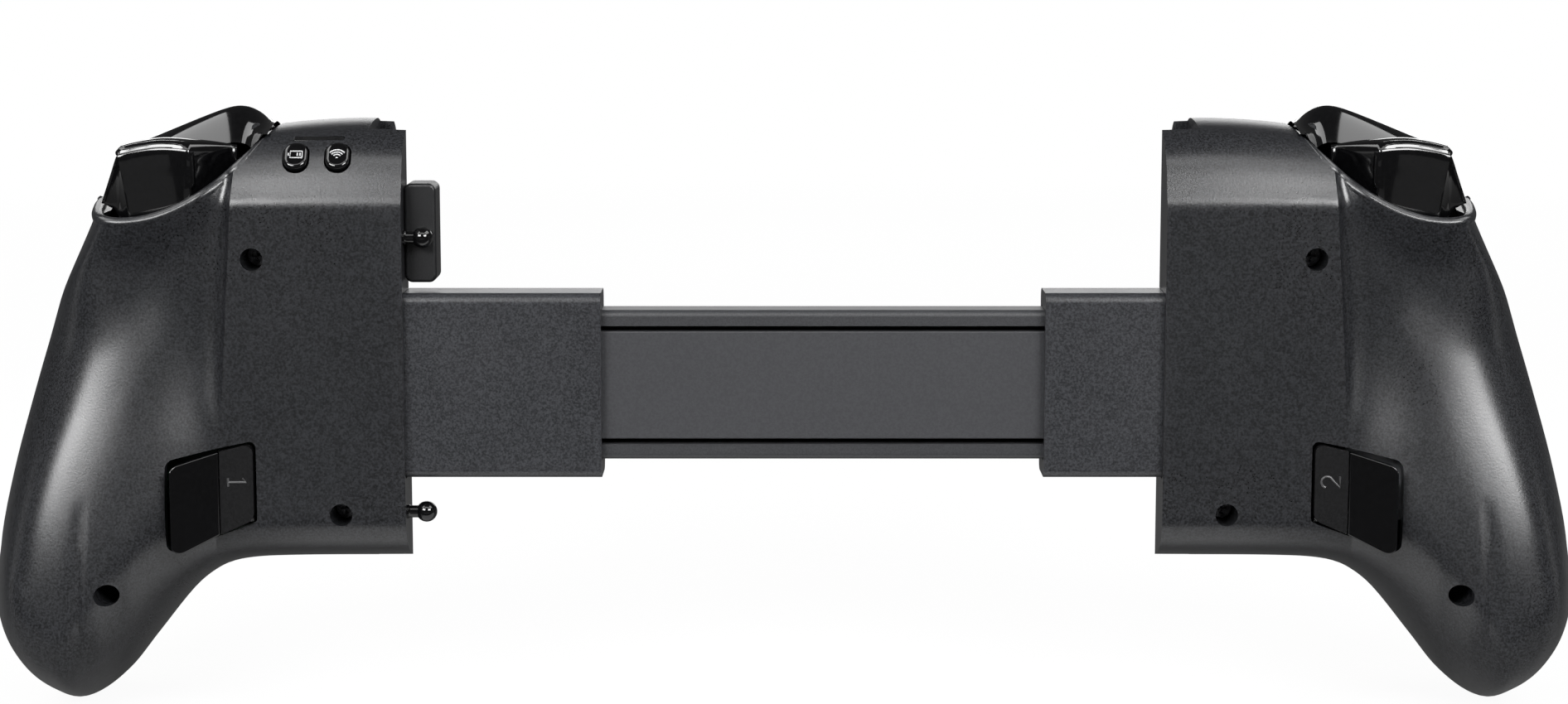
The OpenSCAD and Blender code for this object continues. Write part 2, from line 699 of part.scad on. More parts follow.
// Bumper: arched cap over the trigger, pivoted at its inner end
hood_peak = 25.3;
function hood_top(s) =
    let (past = s - hood_peak) 51 - (past > 0 ? norm([0.42 * past, 1.2]) - 1.2 : 0.05 * pow(past, 2));
function hood_low(s) = max(hood_top(s) - mix(6.5, 3, ramp(26, 47, s)), rim_at(s) + 0.6);
function hood_back(s) = 6.9 + 4 * ramp(24.2, 20, s);
function hood_ring(s) =
    let (t = hood_top(s), l = hood_low(s), k = 14)
    [for (i = [0:k]) let (c = cos(180 * i / k))
        [5.8 - (c > 0 ? hood_back(s) : 6.9) * c, l + (t - l) * (1 - pow(abs(c), 1.6))]];

module bumper() {
    difference() {
        loft([for (s = [18.6, 19.6, 21, 23, 26, 29.5, 33, 36.5, 40, 43, 45.5, 47.4])
            [for (p = hood_ring(s)) [s, p[0], p[1]]]]);
        post_y(bumper_pivot[0], bumper_pivot[1], 0.2, 20, bumper_pin_r + pin_gap);
    }
}

// Macro button: bent plate across the crease, hinged at its inner edge
module macro_button() {
    intersection() {
        translate([0, 0, -40]) linear_extrude(40)
            polygon([[20, -14.3], [27.6, -14.7], [37, -22.1], [37, -19.4], [27.2, -12.3], [20, -12.1]]);
        slab_y(-40, 0) macro_shape(0, 0);
    }
    difference() {
        union() {
            post_z(macro_pin_at, -24.1, -16, 1.5);
            block([21.6, -13, -24.1], [23, -9.8, -16]);
        }
        post_z(macro_pin_at, -30, -10, 0.8 + pin_gap);
    }
}

module macro_pin() {
    post_z(macro_pin_at, -25.7, -14.6, 0.8);
}

module shoulder_button(s) {
    on_shoulder(s) translate([0, 0, -5]) linear_extrude(5.9) pill(key_size[0], key_size[1], key_corner);
}

module spring_arm() {
    y = rail_front - rail_wall - 2.9;
    color("silver") on_right() {
        block([-arm_tip, y, spring_z - 3], [37, y + 1.6, spring_z + 3]);
        post_y(35, spring_z, parting_y - inner_depth(35, spring_z) + 0.8, y + 0.8, 2.4);
    }
}

module usb_port() {
    color("silver") on_right() difference() {
        block([usb_from, board_front + 0.05, -33], [usb_to, board_front + usb_depth, -25.6]);
        block([usb_from + 0.4, board_front + 0.4, -34], [usb_to - 0.4, board_front + usb_depth - 0.4, -26]);
    }
    color("black") on_right()
        block([usb_from + 1.3, board_front + 1.4, -32], [usb_to - 1.3, board_front + 2, -25.8]);
}

module status_light() {
    color("white") on_right() on_shoulder(light_s) intersection() {
        light_bar(0);
        translate([0, 0, -1]) cube([20, 20, 5], center = true);
    }
}

module rest_block() {
    color("black") on_right() slab_y(-8.5, -0.4) translate([-jaw_reach - 2.95, 28.2]) pill(5.9, 18.4, 1.4);
}

module ball_posts() {
    color("black") on_right() for (z = ball_posts_z) {
        post_x(-jaw_reach - 3.4, -jaw_reach + 2.8, ball_posts_y, z, ball_post_r);
        translate([-jaw_reach - 3.6, ball_posts_y, z]) sphere(1.5 * ball_post_r);
    }
}

module battery() {
    at = [battery_at[0], board_back - seat_gap - battery_size[1], battery_at[1]];
    color("silver") on_left() block(at, at + battery_size);
}

module left_rear_shell() {
    color("dimgray") on_left() rear_shell(false);
}
module right_rear_shell() {
    color("dimgray") on_right() rear_shell(true);
}
module left_front_shell() {
    color("dimgray") on_left() front_shell(false);
}
module right_front_shell() {
    color("dimgray") on_right() front_shell(true);
}
module left_sleeve() {
    color("dimgray") on_left() sleeve(left_sleeve_length);
}
module right_sleeve() {
    color("dimgray") on_right() difference() {
        sleeve(right_sleeve_length);
        stop_slot();
    }
}
module left_rest_pad() {
    color("black") on_left() rest_strip(left_sleeve_length);
}
module right_rest_pad() {
    color("black") on_right() rest_strip(right_sleeve_length);
}
module left_slot_pad() {
    color("black") on_left() slot_pad();
}
module right_slot_pad() {
    color("black") on_right() slot_pad();
}
module left_board() {
    color("green") on_left() board();
}
module right_board() {
    color("green") on_right() board();
}
module left_screws() {
    color("silver") on_left() screws(false);
}
module right_screws() {
    color("silver") on_right() screws(true);
}
module left_membrane() {
    color("gray") on_left() membrane(false);
}
module right_membrane() {
    color("gray") on_right() membrane(true);
}
module left_stick_module() {
    color("silver") on_left() gimbal_frame(left_stick_at, stick_pivot);
}
module right_stick_module() {
    color("silver") on_right() gimbal_frame(stick_at, stick_pivot);
}
module left_stick_rocker() {
    color("white") on_left() gimbal_ring(left_stick_at, stick_pivot);
}
module right_stick_rocker() {
    color("white") on_right() gimbal_ring(stick_at, stick_pivot);
}
module left_stick() {
    color("black") on_left() stick(left_stick_at);
}
module right_stick() {
    color("black") on_right() stick(stick_at);
}
module dpad_module() {
    color("silver") on_left() gimbal_frame(stick_at, dpad_pivot);
}
module dpad_rocker() {
    color("white") on_left() gimbal_ring(stick_at, dpad_pivot);
}
module dpad() {
    color("black") on_left() dpad_cap();
}
module view_button() {
    color("black") on_left() small_button(upper_key);
}
module share_button() {
    color("black") on_left() small_button(lower_key);
}
module menu_button() {
    color("black") on_right() small_button(upper_key);
}
module home_button() {
    color("black") on_right() small_button(lower_key);
}
module face_button_outer() {
    color("black") on_right() face_button(0);
}
module face_button_top() {
    color("black") on_right() face_button(90);
}
module face_button_inner() {
    color("black") on_right() face_button(180);
}
module face_button_bottom() {
    color("black") on_right() face_button(270);
}
module battery_button() {
    color("black") on_right() shoulder_button(battery_key_s);
}
module radio_button() {
    color("black") on_right() shoulder_button(radio_key_s);
}
module left_trigger_bracket() {
    color("gray") on_left() trigger_bracket();
}
module right_trigger_bracket() {
    color("gray") on_right() trigger_bracket();
}
module left_trigger_pin() {
    color("silver") on_left() trigger_pin();
}
module right_trigger_pin() {
    color("silver") on_right() trigger_pin();
}
module left_trigger_spring() {
    color("silver") on_left() trigger_spring();
}
module right_trigger_spring() {
    color("silver") on_right() trigger_spring();
}
module left_trigger() {
    color("black") on_left() trigger();
}
module right_trigger() {
    color("black") on_right() trigger();
}
module left_bumper() {
    color("black") on_left() bumper();
}
module right_bumper() {
    color("black") on_right() bumper();
}
module left_macro_pin() {
    color("silver") on_left() macro_pin();
}
module right_macro_pin() {
    color("silver") on_right() macro_pin();
}
module left_macro_button() {
    color("black") on_left() macro_button();
}
module right_macro_button() {
    color("black") on_right() macro_button();
}

rail_frame();
rail_cover();
return_spring();
flex_cable();
left_rear_shell();
left_front_shell();
left_sleeve();
left_rest_pad();
left_slot_pad();
left_board();
left_screws();
left_membrane();
battery();
left_stick_module();
left_stick_rocker();
left_stick();
dpad_module();
dpad_rocker();
dpad();
view_button();
share_button();
left_trigger_bracket();
left_trigger_pin();
left_trigger_spring();
left_trigger();
left_bumper();
left_macro_pin();
left_macro_button();
right_rear_shell();
right_front_shell();
right_sleeve();
right_rest_pad();
right_slot_pad();
right_board();
right_screws();
right_membrane();
spring_arm();
usb_port();
status_light();
rest_block();
ball_posts();
right_stick_module();
right_stick_rocker();
right_stick();
face_button_top();
face_button_bottom();
face_button_inner();
face_button_outer();
menu_button();
home_button();
battery_button();
radio_button();
right_trigger_bracket();
right_trigger_pin();
right_trigger_spring();
right_trigger();
right_bumper();
right_macro_pin();
right_macro_button();
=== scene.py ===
# A telescopic game controller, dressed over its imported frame: two grips on a sprung bridge.
# Lengths in the sections are millimetres and become metres where a mesh is made. On a grip, s runs
# outwards from the end wall of its slot, y towards the player and z up. The right grip mirrors the left.
import math

import bmesh
import bpy
import numpy as np
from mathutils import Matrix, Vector


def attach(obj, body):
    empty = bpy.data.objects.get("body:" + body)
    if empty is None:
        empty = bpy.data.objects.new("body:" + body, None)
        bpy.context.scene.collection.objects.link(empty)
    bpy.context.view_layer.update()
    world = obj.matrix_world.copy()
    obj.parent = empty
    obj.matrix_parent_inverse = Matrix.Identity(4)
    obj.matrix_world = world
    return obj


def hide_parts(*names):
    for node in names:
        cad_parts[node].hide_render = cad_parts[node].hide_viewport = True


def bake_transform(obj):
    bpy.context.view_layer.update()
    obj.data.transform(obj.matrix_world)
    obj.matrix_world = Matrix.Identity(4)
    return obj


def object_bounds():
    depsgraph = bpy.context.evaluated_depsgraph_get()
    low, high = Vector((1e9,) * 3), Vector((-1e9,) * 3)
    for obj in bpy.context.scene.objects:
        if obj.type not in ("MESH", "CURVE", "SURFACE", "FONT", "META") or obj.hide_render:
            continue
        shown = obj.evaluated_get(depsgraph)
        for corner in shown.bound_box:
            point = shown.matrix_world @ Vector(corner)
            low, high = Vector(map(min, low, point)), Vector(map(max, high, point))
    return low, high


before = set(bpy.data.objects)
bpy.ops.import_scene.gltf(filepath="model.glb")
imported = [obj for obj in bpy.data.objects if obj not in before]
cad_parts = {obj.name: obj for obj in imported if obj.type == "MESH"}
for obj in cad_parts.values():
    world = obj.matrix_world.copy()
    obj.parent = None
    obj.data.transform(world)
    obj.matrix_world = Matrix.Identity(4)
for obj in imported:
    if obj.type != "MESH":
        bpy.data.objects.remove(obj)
cad_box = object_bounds()

# Rear shells: the back halves of the two grips, moulded in charcoal plastic with a spark-eroded grain.
# Each is a flat pod with a creased shoulder that runs through a finger valley into the palm swell.
# Three screws from the back hold it to its front half, and the rim above the palm frames the trigger.
SLOT_END = 77.1
JAW_REACH = 6.8
GRIP_END = 72.9
PARTING = 8.0
POD_REAR = 21.3
PALM_STEP = 0.2
PALM_SWELL = 10.5
SWELL_Z = (16, -44)
VALLEY_DEPTH = 2.1
VALLEY_LENGTH = 4.0
VALLEY_Z = (-22, 14)
RECESS_DEPTH = 1.3
RECESS_S = (41.5, 6.5)
RECESS_Z = (20.0, 9.0)
CREASE_Z = 34.0
CREASE_S = 26.7
CREASE_LEAN = 0.065
RISE_Z = (10, -12)
FALL_POWER = (3, 8)
FALL_POWER_Z = (6, 26)
FALL_Z = (-50, -30)
CREST_EDGE = (6.5, 2)
CREST_EDGE_Z = (30, 15)
LOWER_EDGE = (11, 19)
LOWER_EDGE_POWER = 2.6
SHELL_WALL = 2.2
RIM_S = 44.7
RIM_Z = 31.6
RIM_CURVE = (0.022, 0.03)
RIM_FLARE = 1.6
RIM_FLARE_TOP = 40
RIM_FLARE_WIDTH = 6
RIM_LIP = 1.1
CREST = np.array([(-6.8, 48.2), (3, 48.5), (14, 47.9), (24, 46.6), (34, 45), (43, 42.6), (49, 38.2),
                  (53.3, 31), (60.8, 12.8), (67.1, -8.5), (70.9, -25.5), (72.9, -37)])
BELLY = np.array([(-6.8, -34.7), (18, -34.9), (26, -35.6), (31, -37.5), (36.4, -41.8), (44, -51.1),
                  (49.5, -57.9), (55.2, -61.8), (60.6, -60.6), (66.2, -56.6), (70.6, -50), (72.4, -44),
                  (72.9, -40.5)])
EDGE = np.array([(z, s) for s, z in [*BELLY[7:], *CREST[:4:-1]]])
RIDGE = np.array([(-60, 57), (-28, 55.5), (-15, 52), (-3, 46), (7.6, 40), (14, 35.5), (20, 32.6),
                  (28, 31), (50, 30.5)])
SCREWS = [(20.8, 23.8), (5.2, -24), (47.5, -37.5)]
SCREW_SEAT = -4.0
MACRO_OUTLINE = [(21.3, -10.4), (35.5, -13.8), (35.5, -30.9), (21.3, -24.8)]


def ramp(a, b, x):
    """Smooth step from 0 at a to 1 at b."""
    t = np.clip((np.asarray(x, float) - a) / (b - a), 0, 1)
    return t * t * (3 - 2 * t)


def bell(x, centre, width):
    """Soft bump of height 1."""
    return np.exp(-(((x - centre) / width) ** 2))


def mix(a, b, t):
    """Value between a and b."""
    return a + (b - a) * t


def round_in(d, r, power=2.0):
    """Quarter round from 0 at the edge to 1 at the distance r; a higher power runs out more softly."""
    return np.sqrt(1 - (1 - np.clip(d / r, 0, 1)) ** power)


def outline(points, s):
    """Smooth curve through a few outline points."""
    s = np.asarray(s, float)
    x, h = points.T
    order = np.arange(len(x))
    before = np.maximum(order - 1, 0)
    after = np.minimum(order + 1, len(x) - 1)
    slope = (h[after] - h[before]) / (x[after] - x[before])
    i = np.clip(np.searchsorted(x, s) - 1, 0, len(x) - 2)
    step = x[i + 1] - x[i]
    t = (s - x[i]) / step
    return ((2 * t**3 - 3 * t**2 + 1) * h[i] + (t**3 - 2 * t**2 + t) * step * slope[i]
            + (3 * t**2 - 2 * t**3) * h[i + 1] + (t**3 - t**2) * step * slope[i + 1])


def steepness(points, s):
    """Length of an outline for each millimetre along s."""
    return np.sqrt(1 + ((outline(points, s + 0.2) - outline(points, s - 0.2)) / 0.4) ** 2)


def rim_height(s):
    """Height of the rim under the trigger."""
    return RIM_Z + np.where(np.asarray(s) < RIM_S, *RIM_CURVE) * (RIM_S - s) ** 2


def shoulder_share(rise):
    """Depth of a pod above its crease, as a share, from the crease to the crest."""
    rise = np.clip(rise, 0, 1)
    return np.sqrt(1 - rise**4) - 0.25 * rise * (1 - rise**2)


def rear_depth(s, z):
    """How far the rear surface stands behind the joint of the two shells."""
    s, z = np.broadcast_arrays(np.asarray(s, float), np.asarray(z, float))
    top = outline(CREST, s)
    past = s - CREASE_S + CREASE_LEAN * z
    ridge = outline(RIDGE, z)
    shoulder = shoulder_share((z - CREASE_Z) / (top - CREASE_Z))
    away = np.maximum(past / VALLEY_LENGTH, 0)
    valley = VALLEY_DEPTH * away * np.exp(1 - away) * ramp(*VALLEY_Z, z)
    t = np.clip(past / (ridge - CREASE_S + CREASE_LEAN * z), 0, 1)
    share = mix(t * t * (3 - 2 * t), 1 - (1 - t) ** 2, ramp(*RISE_Z, z))
    flare = RIM_FLARE * bell(z, np.minimum(rim_height(s), RIM_FLARE_TOP), RIM_FLARE_WIDTH)
    palm = POD_REAR + PALM_STEP + PALM_SWELL * ramp(*SWELL_Z, z) + flare
    palm = palm - RECESS_DEPTH * bell(s, *RECESS_S) * bell(z, *RECESS_Z)
    across = np.clip((s - ridge) / (outline(EDGE, z) - ridge), 0, 1)
    fall = np.sqrt(1 - across ** mix(*FALL_POWER, ramp(*FALL_POWER_Z, z)))
    crest_edge = round_in((top - z) / steepness(CREST, s), mix(*CREST_EDGE, ramp(*CREST_EDGE_Z, z)))
    handle = palm * mix(1, fall, ramp(*FALL_Z, z)) * crest_edge
    above = (z - outline(BELLY, s)) / steepness(BELLY, s)
    lower_edge = round_in(above, mix(*LOWER_EDGE, share), LOWER_EDGE_POWER)
    return mix(POD_REAR * shoulder, handle, share) * (1 - valley / POD_REAR) * lower_edge


def heights(low, top, below, above):
    """Rows between two edges, close together at both, with one row on the shoulder's crease."""
    crease = np.minimum(CREASE_Z, mix(low, top, 0.72))
    lower = [mix(low, crease, 1 - math.cos(math.pi / 2 * i / below)) for i in range(below)]
    upper = [mix(crease, top, math.sin(math.pi / 2 * i / above)) for i in range(above + 1)]
    return np.array(lower + upper)


def creased_lines(start, end, inner, outer, below, above):
    """Grid of a grip whose lines lean so that one of them lies on the crease: s and z, line by row."""
    base = np.concatenate([np.linspace(start, CREASE_S, inner, endpoint=False),
                           mix(CREASE_S, end, np.sin(np.pi / 2 * np.linspace(0, 1, outer) ** 1.3))])
    lean = CREASE_LEAN * np.where(base < CREASE_S, (base - start) / (CREASE_S - start),
                                  (end - base) / (end - CREASE_S))
    low, top = outline(BELLY, base), outline(CREST, base)
    for _ in range(30):
        low, top = outline(BELLY, base - lean * low), outline(CREST, base - lean * top)
    z = heights(low, top, below, above).T
    return base[:, None] - lean[:, None] * z, z


def to_metres(points, side):
    """Points of a grip (s, y, z) in the frame; side is 1 left, -1 right and 0 for points of the bridge."""
    p = np.array(points, float).reshape(-1, 3)
    if side:
        p[:, 0] = side * (SLOT_END + p[:, 0])
    return p * 0.001


def mesh_piece(name, points, faces, side=0):
    """Object of these points and faces, its faces pointing outwards."""
    mesh = bpy.data.meshes.new(name)
    mesh.from_pydata(to_metres(points, side).tolist(), [], faces)
    work = bmesh.new()
    work.from_mesh(mesh)
    bmesh.ops.remove_doubles(work, verts=work.verts, dist=1e-7)
    bmesh.ops.dissolve_degenerate(work, edges=work.edges, dist=1e-7)
    bmesh.ops.recalc_face_normals(work, faces=work.faces)
    work.to_mesh(mesh)
    work.free()
    piece = bpy.data.objects.new(name, mesh)
    bpy.context.scene.collection.objects.link(piece)
    return piece


def loft(name, rings, side):
    """Closed solid through rings of equal count."""
    rings = np.asarray(rings, float)
    n, m = rings.shape[:2]
    faces = [(i * m + j, i * m + (j + 1) % m, (i + 1) * m + (j + 1) % m, (i + 1) * m + j)
             for i in range(n - 1) for j in range(m)]
    faces += [tuple(range(m)), tuple((n - 1) * m + j for j in range(m))]
    return mesh_piece(name, rings, faces, side)


def prism(name, corners, axis, start, end, side=0):
    """Outline drawn out along y or z; the corners are (s, z) for y and (s, y) for z."""
    ring = [[(a, h, b) if axis == "y" else (a, b, h) for a, b in corners] for h in (start, end)]
    return loft(name, ring, side)


def rounded_corners(corners, radius, count=8):
    """Outline with each corner turned into an arc."""
    made = []
    p = np.array(corners, float)
    for i in range(len(p)):
        a = p[i - 1] - p[i]
        b = p[(i + 1) % len(p)] - p[i]
        a, b = a / np.linalg.norm(a), b / np.linalg.norm(b)
        half = math.acos(np.clip(a @ b, -1, 1)) / 2
        r = radius[i] if isinstance(radius, list) else radius
        centre = p[i] + (a + b) / np.linalg.norm(a + b) * r / math.sin(half)
        first = p[i] + a * r / math.tan(half) - centre
        last = p[i] + b * r / math.tan(half) - centre
        start = math.atan2(first[1], first[0])
        turn = (math.atan2(last[1], last[0]) - start + math.pi) % (2 * math.pi) - math.pi
        angles = [start + turn * k / count for k in range(count + 1)]
        made += [tuple(centre + r * np.array((math.cos(t), math.sin(t)))) for t in angles]
    return made


def applied(piece):
    """The piece with its modifiers made into its mesh."""
    view = bpy.context.evaluated_depsgraph_get()
    mesh = bpy.data.meshes.new_from_object(piece.evaluated_get(view))
    piece.modifiers.clear()
    piece.data = mesh
    return piece


def carved(piece, cuts, added=()):
    """The piece with other solids cut from it, and then others joined to it."""
    for operation, others in (("DIFFERENCE", cuts), ("UNION", added)):
        for other in others:
            step = piece.modifiers.new(operation.lower(), "BOOLEAN")
            step.operation = operation
            step.solver = "MANIFOLD"
            step.object = other
    applied(piece)
    for other in [*cuts, *added]:
        bpy.data.objects.remove(other)
    return piece


def fitted(piece, material, body, slot, *nodes, angle=32):
    """The finished piece: smooth faces with sharp edges kept, its material, and its place in the frame."""
    piece.data.shade_smooth()
    piece.data.set_sharp_from_angle(angle=math.radians(angle))
    piece.data.materials.clear()
    piece.data.materials.append(material)
    even = piece.modifiers.new("even", "WEIGHTED_NORMAL")
    even.keep_sharp = True
    applied(piece)
    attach(piece, body)
    if nodes:
        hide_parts(*nodes)
    return piece


class Wire:
    """A socket of a node tree. Operators on wires add Math nodes, and node() adds any other node."""

    def __init__(self, tree, socket=None):
        self.tree, self.socket = tree, socket

    def node(self, kind, inputs=None, settings=None, out=0):
        made = self.tree.nodes.new(kind)
        for name, value in (settings or {}).items():
            if name == "stops":
                ramp_stops = made.color_ramp.elements
                while len(ramp_stops) < len(value):
                    ramp_stops.new(0.5)
                for stop, (place, shade) in zip(ramp_stops, value):
                    stop.position, stop.color = place, (shade, shade, shade, 1)
            else:
                setattr(made, name, value)
        for name, value in (inputs or {}).items():
            for one in value if isinstance(value, list) else [value]:
                if isinstance(one, Wire):
                    self.tree.links.new(one.socket, made.inputs[name])
                else:
                    made.inputs[name].default_value = one
        return Wire(self.tree, made.outputs[out] if len(made.outputs) else None)

    def math(self, operation, a, b):
        return self.node("ShaderNodeMath", {0: a, 1: b}, {"operation": operation})

    def __add__(self, other):
        return self.math("ADD", self, other)

    def __radd__(self, other):
        return self.math("ADD", other, self)

    def __sub__(self, other):
        return self.math("SUBTRACT", self, other)

    def __rsub__(self, other):
        return self.math("SUBTRACT", other, self)

    def __mul__(self, other):
        return self.math("MULTIPLY", self, other)

    def __rmul__(self, other):
        return self.math("MULTIPLY", other, self)


def cleared_sheet(owner):
    """Empty node tree of a material or a world, as a wire to build with."""
    owner.use_nodes = True
    owner.node_tree.nodes.clear()
    return Wire(owner.node_tree)


def finish_of(name, colour, light, roughness, spread, grain, grain_depth, **constants):
    """Material of a moulded or metal surface: shades mixed by its grain, drifting roughness and a bump."""
    material = bpy.data.materials.new(name)
    sheet = cleared_sheet(material)
    place = sheet.node("ShaderNodeTexCoord", out="Object")
    speck = sheet.node("ShaderNodeTexNoise",
                       {"Vector": place, "Scale": grain, "Detail": 2.0, "Roughness": 0.65})
    drift = sheet.node("ShaderNodeTexNoise", {"Vector": place, "Scale": 40.0, "Detail": 4.0})
    shine = sheet.node("ShaderNodeValToRGB", {"Fac": speck}, {"stops": [(0.38, 0.0), (0.62, 1.0)]})
    shade = sheet.node("ShaderNodeMix", {0: shine * 0.8 + drift * 0.2, 6: (*colour, 1), 7: (*light, 1)},
                       {"data_type": "RGBA"}, out=2)
    rough = roughness + (speck - 0.5) * spread + (drift - 0.5) * spread
    bump = sheet.node("ShaderNodeBump", {"Strength": 0.5, "Distance": grain_depth * 0.001, "Height": speck})
    surface = sheet.node("ShaderNodeBsdfPrincipled",
                         {"Base Color": shade, "Roughness": rough, "Normal": bump, **constants})
    sheet.node("ShaderNodeOutputMaterial", {"Surface": surface})
    return material


grained_plastic = finish_of("grained_charcoal_plastic", (0.002, 0.0021, 0.0025), (0.0205, 0.0214, 0.0242),
                            0.30, 0.08, 2600.0, 0.03, **{"Specular IOR Level": 0.65})


def skin_rings(s, y, z):
    """Rings of a skin, one for each line of its grid."""
    return np.stack([np.broadcast_to(s, z.shape), y, z], axis=-1)


def lines_along(start, end, inner, outer):
    """Places along a grip, even up to its middle and then closer and closer towards its end."""
    middle = 27
    return np.concatenate([np.linspace(start, middle, inner, endpoint=False),
                           mix(middle, end, np.sin(np.pi / 2 * np.linspace(0, 1, outer)))])


def hollow(depth_at, way, lines, rows, side):
    """Cutter of the room inside a shell, a wall's thickness under its skin; way is -1 to the back."""
    rings = []
    for s in lines_along(2.4, GRIP_END - 5.5, *lines):
        low = outline(BELLY, s) + SHELL_WALL * steepness(BELLY, s)
        top = outline(CREST, s) - SHELL_WALL * steepness(CREST, s)
        z = heights(low, top, *rows)[::-way]
        y = PARTING + way * np.maximum(1, depth_at(s, z) - SHELL_WALL)
        joint = PARTING - way
        rings.append([(s, joint, z[0]), *[(s, b, c) for b, c in zip(y, z)], (s, joint, z[-1])])
    return loft("hollow", rings, side)


def rear_room(s, z):
    """Depth that is free at s and at a wall's thickness further out."""
    return np.minimum(rear_depth(s, z), rear_depth(s + SHELL_WALL, z))


def lip_share(s):
    """Thickness of the rim's lip, as a share, as it grows from its inner end."""
    return (s - 19) / 4


def trigger_bay(side):
    """Room above the rim for the trigger and the bumper."""
    start, end, top = 14.5, 75, 70
    s = np.linspace(start, 56, 60)
    rim = rim_height(s) - RIM_LIP * np.clip(lip_share(s), 0, 1)
    corners = [*zip(s, rim), (end, 36), (end, top), (start, top)]
    return prism("bay", corners, "y", -40, 13, side)


NOSE_BACK = [(24.6, -3.3), (32, -12.2), (43.4, -12.2), (45.8, -10.4), (51, -4.2)]
NOSE_FRONT = -1.4


def nose_back(s):
    """Back of the trigger's nose along the grip."""
    return np.interp(s, *zip(*NOSE_BACK))


def box_cut(low, high, side=0):
    """Block between two corners (s, y, z)."""
    corners = [(low[0], low[2]), (high[0], low[2]), (high[0], high[2]), (low[0], high[2])]
    return prism("box", corners, "y", low[1], high[1], side)


def full_turn(count):
    """Angles of equal steps round a circle."""
    return np.arange(count) * 2 * math.pi / count


def rod(name, start, end, radius, side):
    """Round bar between two points of a grip."""
    a, b = Vector(start), Vector(end)
    across = (b - a).orthogonal().normalized()
    other = (b - a).normalized().cross(across)
    ring = [across * math.cos(t) + other * math.sin(t) for t in full_turn(40)]
    return loft(name, [[p + radius * r for r in ring] for p in (a, b)], side)


def peg(name, at, start, end, radius, side=0):
    """Round bar along y through at (s, z)."""
    return rod(name, (at[0], start, at[1]), (at[0], end, at[1]), radius, side)


def swept(name, path, radii, side, count=14):
    """Round bead along a path, its thickness given point by point."""
    path = [Vector(p) for p in path]
    rings = []
    for i, p in enumerate(path):
        along = (path[min(i + 1, len(path) - 1)] - path[max(i - 1, 0)]).normalized()
        across = along.cross(Vector((0, 1, 0))).normalized()
        other = along.cross(across)
        rings.append([p + float(radii[i]) * (across * math.cos(t) + other * math.sin(t))
                      for t in full_turn(count)])
    return loft(name, rings, side)


def shoulder_back(z):
    """Place of the shoulder's back face at a height."""
    return PARTING - POD_REAR * shoulder_share((z - CREASE_Z) / (outline(CREST, 10.0) - CREASE_Z))


SHOULDER_Z = 42.9
SHOULDER_TILT = math.atan(shoulder_back(SHOULDER_Z + 0.5) - shoulder_back(SHOULDER_Z - 0.5))


def on_shoulder(s, across, up, out):
    """Point of the sloped shoulder: across and up along the slope, out along its normal."""
    y = shoulder_back(SHOULDER_Z) + up * math.sin(SHOULDER_TILT) - out * math.cos(SHOULDER_TILT)
    z = SHOULDER_Z + up * math.cos(SHOULDER_TILT) + out * math.sin(SHOULDER_TILT)
    return s + across, y, z


def pill_ring(width, height, radius, count=8):
    """Rectangle about the origin with rounded corners."""
    w, h = width / 2, height / 2
    return rounded_corners([(-w, -h), (w, -h), (w, h), (-w, h)], radius, count)


def shoulder_prism(name, s, size, bottom, top, up):
    """Rounded block on the shoulder of the right pod; its size is width, height and corner radius."""
    ring = pill_ring(*size)
    return loft(name, [[on_shoulder(s, a, b + up, h) for a, b in ring] for h in (bottom, top)], -1)


KEY_S = {"battery_button": 12.7, "radio_button": 5.0}
KEY_SIZE = (4.4, 5.6, 2.0)
KEY_GAP = 0.3
KEY_UP = -0.6
LIGHT_S = sum(KEY_S.values()) / 2
LIGHT_UP = 4.0
LIGHT_OPENING = (9.6, 1.2, 0.55)
POST_Y = -10.4
POST_Z = (27.6, -23.8)
TUBE_R = 3.4
SEAT_R = 2.1
SCREW_BORE = 1.3
FAR_BACK = -60
MACRO_GAP = 0.5
MACRO_SWING = 1.6


def screw_tube(s, z, side):
    """Tube under the skin that guides a screw; the one in the palm swell starts and ends deeper."""
    inset, end = (3.4, 2.4) if z < -30 else (1.8, 0.7)
    return peg("tube", (s, z), PARTING - rear_depth(s, z) + inset, end, TUBE_R, side)


